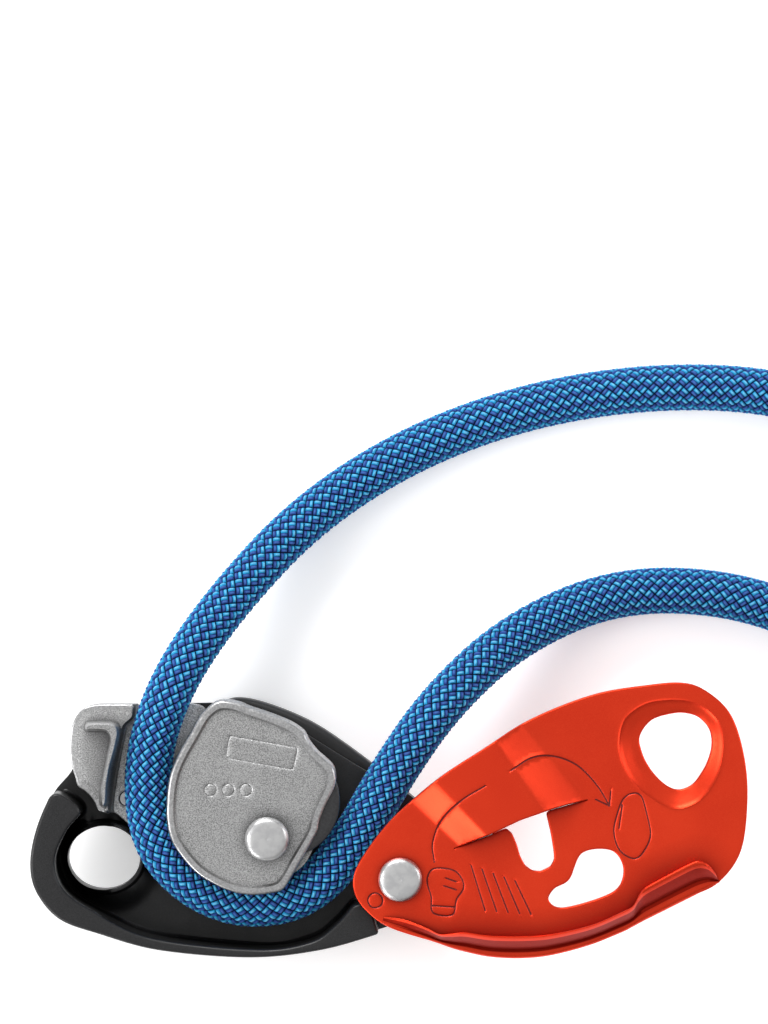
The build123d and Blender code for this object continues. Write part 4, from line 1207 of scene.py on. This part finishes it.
def handle_outline():
    """The lever and its hub as one loop."""
    lever = np.vstack([open_curve(LEVER, 0.5)[:-1], open_curve(LEVER_UNDER, 0.5)])
    everything = np.vstack([lever, [AXLE]])
    turn = np.radians(np.arange(0, 360, 1.0))
    reach = []
    for a in turn:
        # farthest crossing of a ray from the axle with the lever's edge, or the hub
        ray = np.array([cos(a), sin(a)])
        best = HUB_R
        for (x0, y0), (x1, y1) in zip(everything, np.roll(everything, -1, 0)):
            ex, ey, fx, fy = x1 - x0, y1 - y0, x0 - AXLE[0], y0 - AXLE[1]
            det = ray[1] * ex - ray[0] * ey
            if abs(det) > 1e-9:
                t = (fy * ex - fx * ey) / det
                u = (ray[0] * fy - ray[1] * fx) / det
                if 0 <= u <= 1 and t > best:
                    best = t
        reach.append(best)
    reach = np.array(reach)
    dense = np.column_stack([AXLE[0] + reach * np.cos(turn), AXLE[1] + reach * np.sin(turn)])
    return corner_loop(dense, 1.2, 0.5)


def handle(finishes):
    outline = handle_outline()
    bore = round_loop(AXLE, HUB_BORE_R, spacing=0.5)
    recess = round_loop(AXLE, HUB_RECESS_R, spacing=0.5)
    start, end = np.array([-8.0, 9.5]), np.array([9.0, -5.0])
    run = (end - start) / np.linalg.norm(end - start)

    def bottom(points):
        hub = HUB_RECESS * plateau(points, recess, 0.3)
        along = (points - start) @ run
        width = ease((distance(points, outline) - 1.8) / 1.2)
        wave = (1 - np.cos(along / GRIP_PITCH * tau)) / 2
        grooves = np.where((along > 0) & (along < GRIP_LENGTH), GRIP_DEPTH * wave * width, 0)
        return np.maximum(hub, grooves)

    across = np.outer(np.linspace(-9, 9, 30), [-run[1], run[0]])
    rows = np.vstack([beside(recess, (0.1, -0.1, -0.3))]
                     + [start + run * d + across for d in np.arange(0, GRIP_LENGTH + 0.1, GRIP_PITCH / 4)])
    piece = relief("handle_moulding", outline, [bore], HANDLE_TOP, bottom, edge_top=1.2, edge_bottom=1.4,
                   spacing=1.1, extra=rows, steps=5)
    paint_faces(piece, 0, finishes["black_plastic"])
    place_piece(piece, "handle", "handle")


# ---- Rivets and small parts ----
Z_HEAD = 33.3
HEAD_R = 4.6


def headed(name, node, centre, shank, top):
    """A rivet whose head is domed and bevelled."""
    head = [(HEAD_R - 0.25, Z_HEAD), (HEAD_R - 0.05, Z_HEAD + 0.12), (HEAD_R, Z_HEAD + 0.4),
            (HEAD_R, top - 1.15), (HEAD_R - 0.1, top - 0.85), (HEAD_R - 0.55, top - 0.38),
            (HEAD_R - 0.9, top - 0.2), (HEAD_R - 1.5, top - 0.1), (2.2, top - 0.03), (1.0, top), (0.2, top)]
    piece = turned(name, centre, shank + head)
    paint_faces(piece, 0, rivet_steel(name + "_steel", node))
    place_piece(piece, "fixed_plate", node)


def washer(name, node, centre, radii, heights, finish):
    """A ring with its corners broken."""
    (inner, outer), (low, high), broken = radii, heights, 0.15
    profile = [(inner, low), (outer - broken, low), (outer, low + broken), (outer, high - broken),
               (outer - broken, high), (inner, high)]
    faces = quads(len(profile), ROUND_STEPS, wrap_rows=True)
    piece = new_object(name, np.vstack(upright_rings(centre, profile)), faces)
    paint_faces(piece, 0, finish)
    place_piece(piece, "fixed_plate", node)


def small_parts(finishes):
    headed("cam_axle_rivet", "cam_axle", AXLE,
           [(0.2, 0.8), (3.6, 0.8), (3.95, 1.0), (4.0, 1.4), (3.4, 1.4), (3.4, 2.3), (4.0, 2.3), (4.0, 30.9),
            (3.0, 30.9), (3.0, Z_HEAD)], 35.5)
    headed("plate_pivot_head", "plate_pivot_rivet", PIVOT,
           [(0.2, Z_PLATE), (4.8, Z_PLATE), (3.0, Z_PLATE + 1.6), (3.0, Z_HEAD)], 35.3)
    washer("cam_thrust_washer", "cam_rear_washer", AXLE, (4.05, 5.2), (Z_LINER, 14.75),
           finishes["small_steel"])
    finish_of = {"cam_bush": "bronze", "pivot_washer": "nylon"}
    for node in ("friction_plate_rivets", "cam_bush", "cam_front_washer", "cam_spring", "handle_drive_pin",
                 "handle_washer", "handle_retaining_ring", "handle_spring", "pivot_spacer", "pivot_washer",
                 "pivot_spring_washer"):
        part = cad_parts[node]
        part.data.materials.clear()
        part.data.materials.append(finishes[finish_of.get(node, "small_steel")])
        if "spring" not in node or node == "pivot_spring_washer":
            bevel = part.modifiers.new("edges", "BEVEL")
            bevel.width = (0.06 if "washer" in node else 0.2) * MM
            bevel.segments = 2
            bevel.limit_method = "ANGLE"
            bevel.angle_limit = radians(50)


# ---- Making the scene ----
add_camera()
finishes = {
    **plain_finishes(), "rope_sheath": rope_sheath(), "anodised_red": anodised_red(),
    "cast_steel": cast_steel("cast_steel", 1.0, (0.035, 0.035, 0.037), 5.0),
    # a lighter copy of the cast steel with weaker painted shade, used as painted light on the friction
    # plate's shaded well
    "lit_liner_steel": cast_steel("lit_liner_steel", 1.75, (0.25, 0.25, 0.255), 2.0),
}
add_rope(finishes)
add_studio()
red_plate(finishes)
fixed_plate(finishes)
friction_plate(finishes)
cam(finishes)
handle(finishes)
small_parts(finishes)
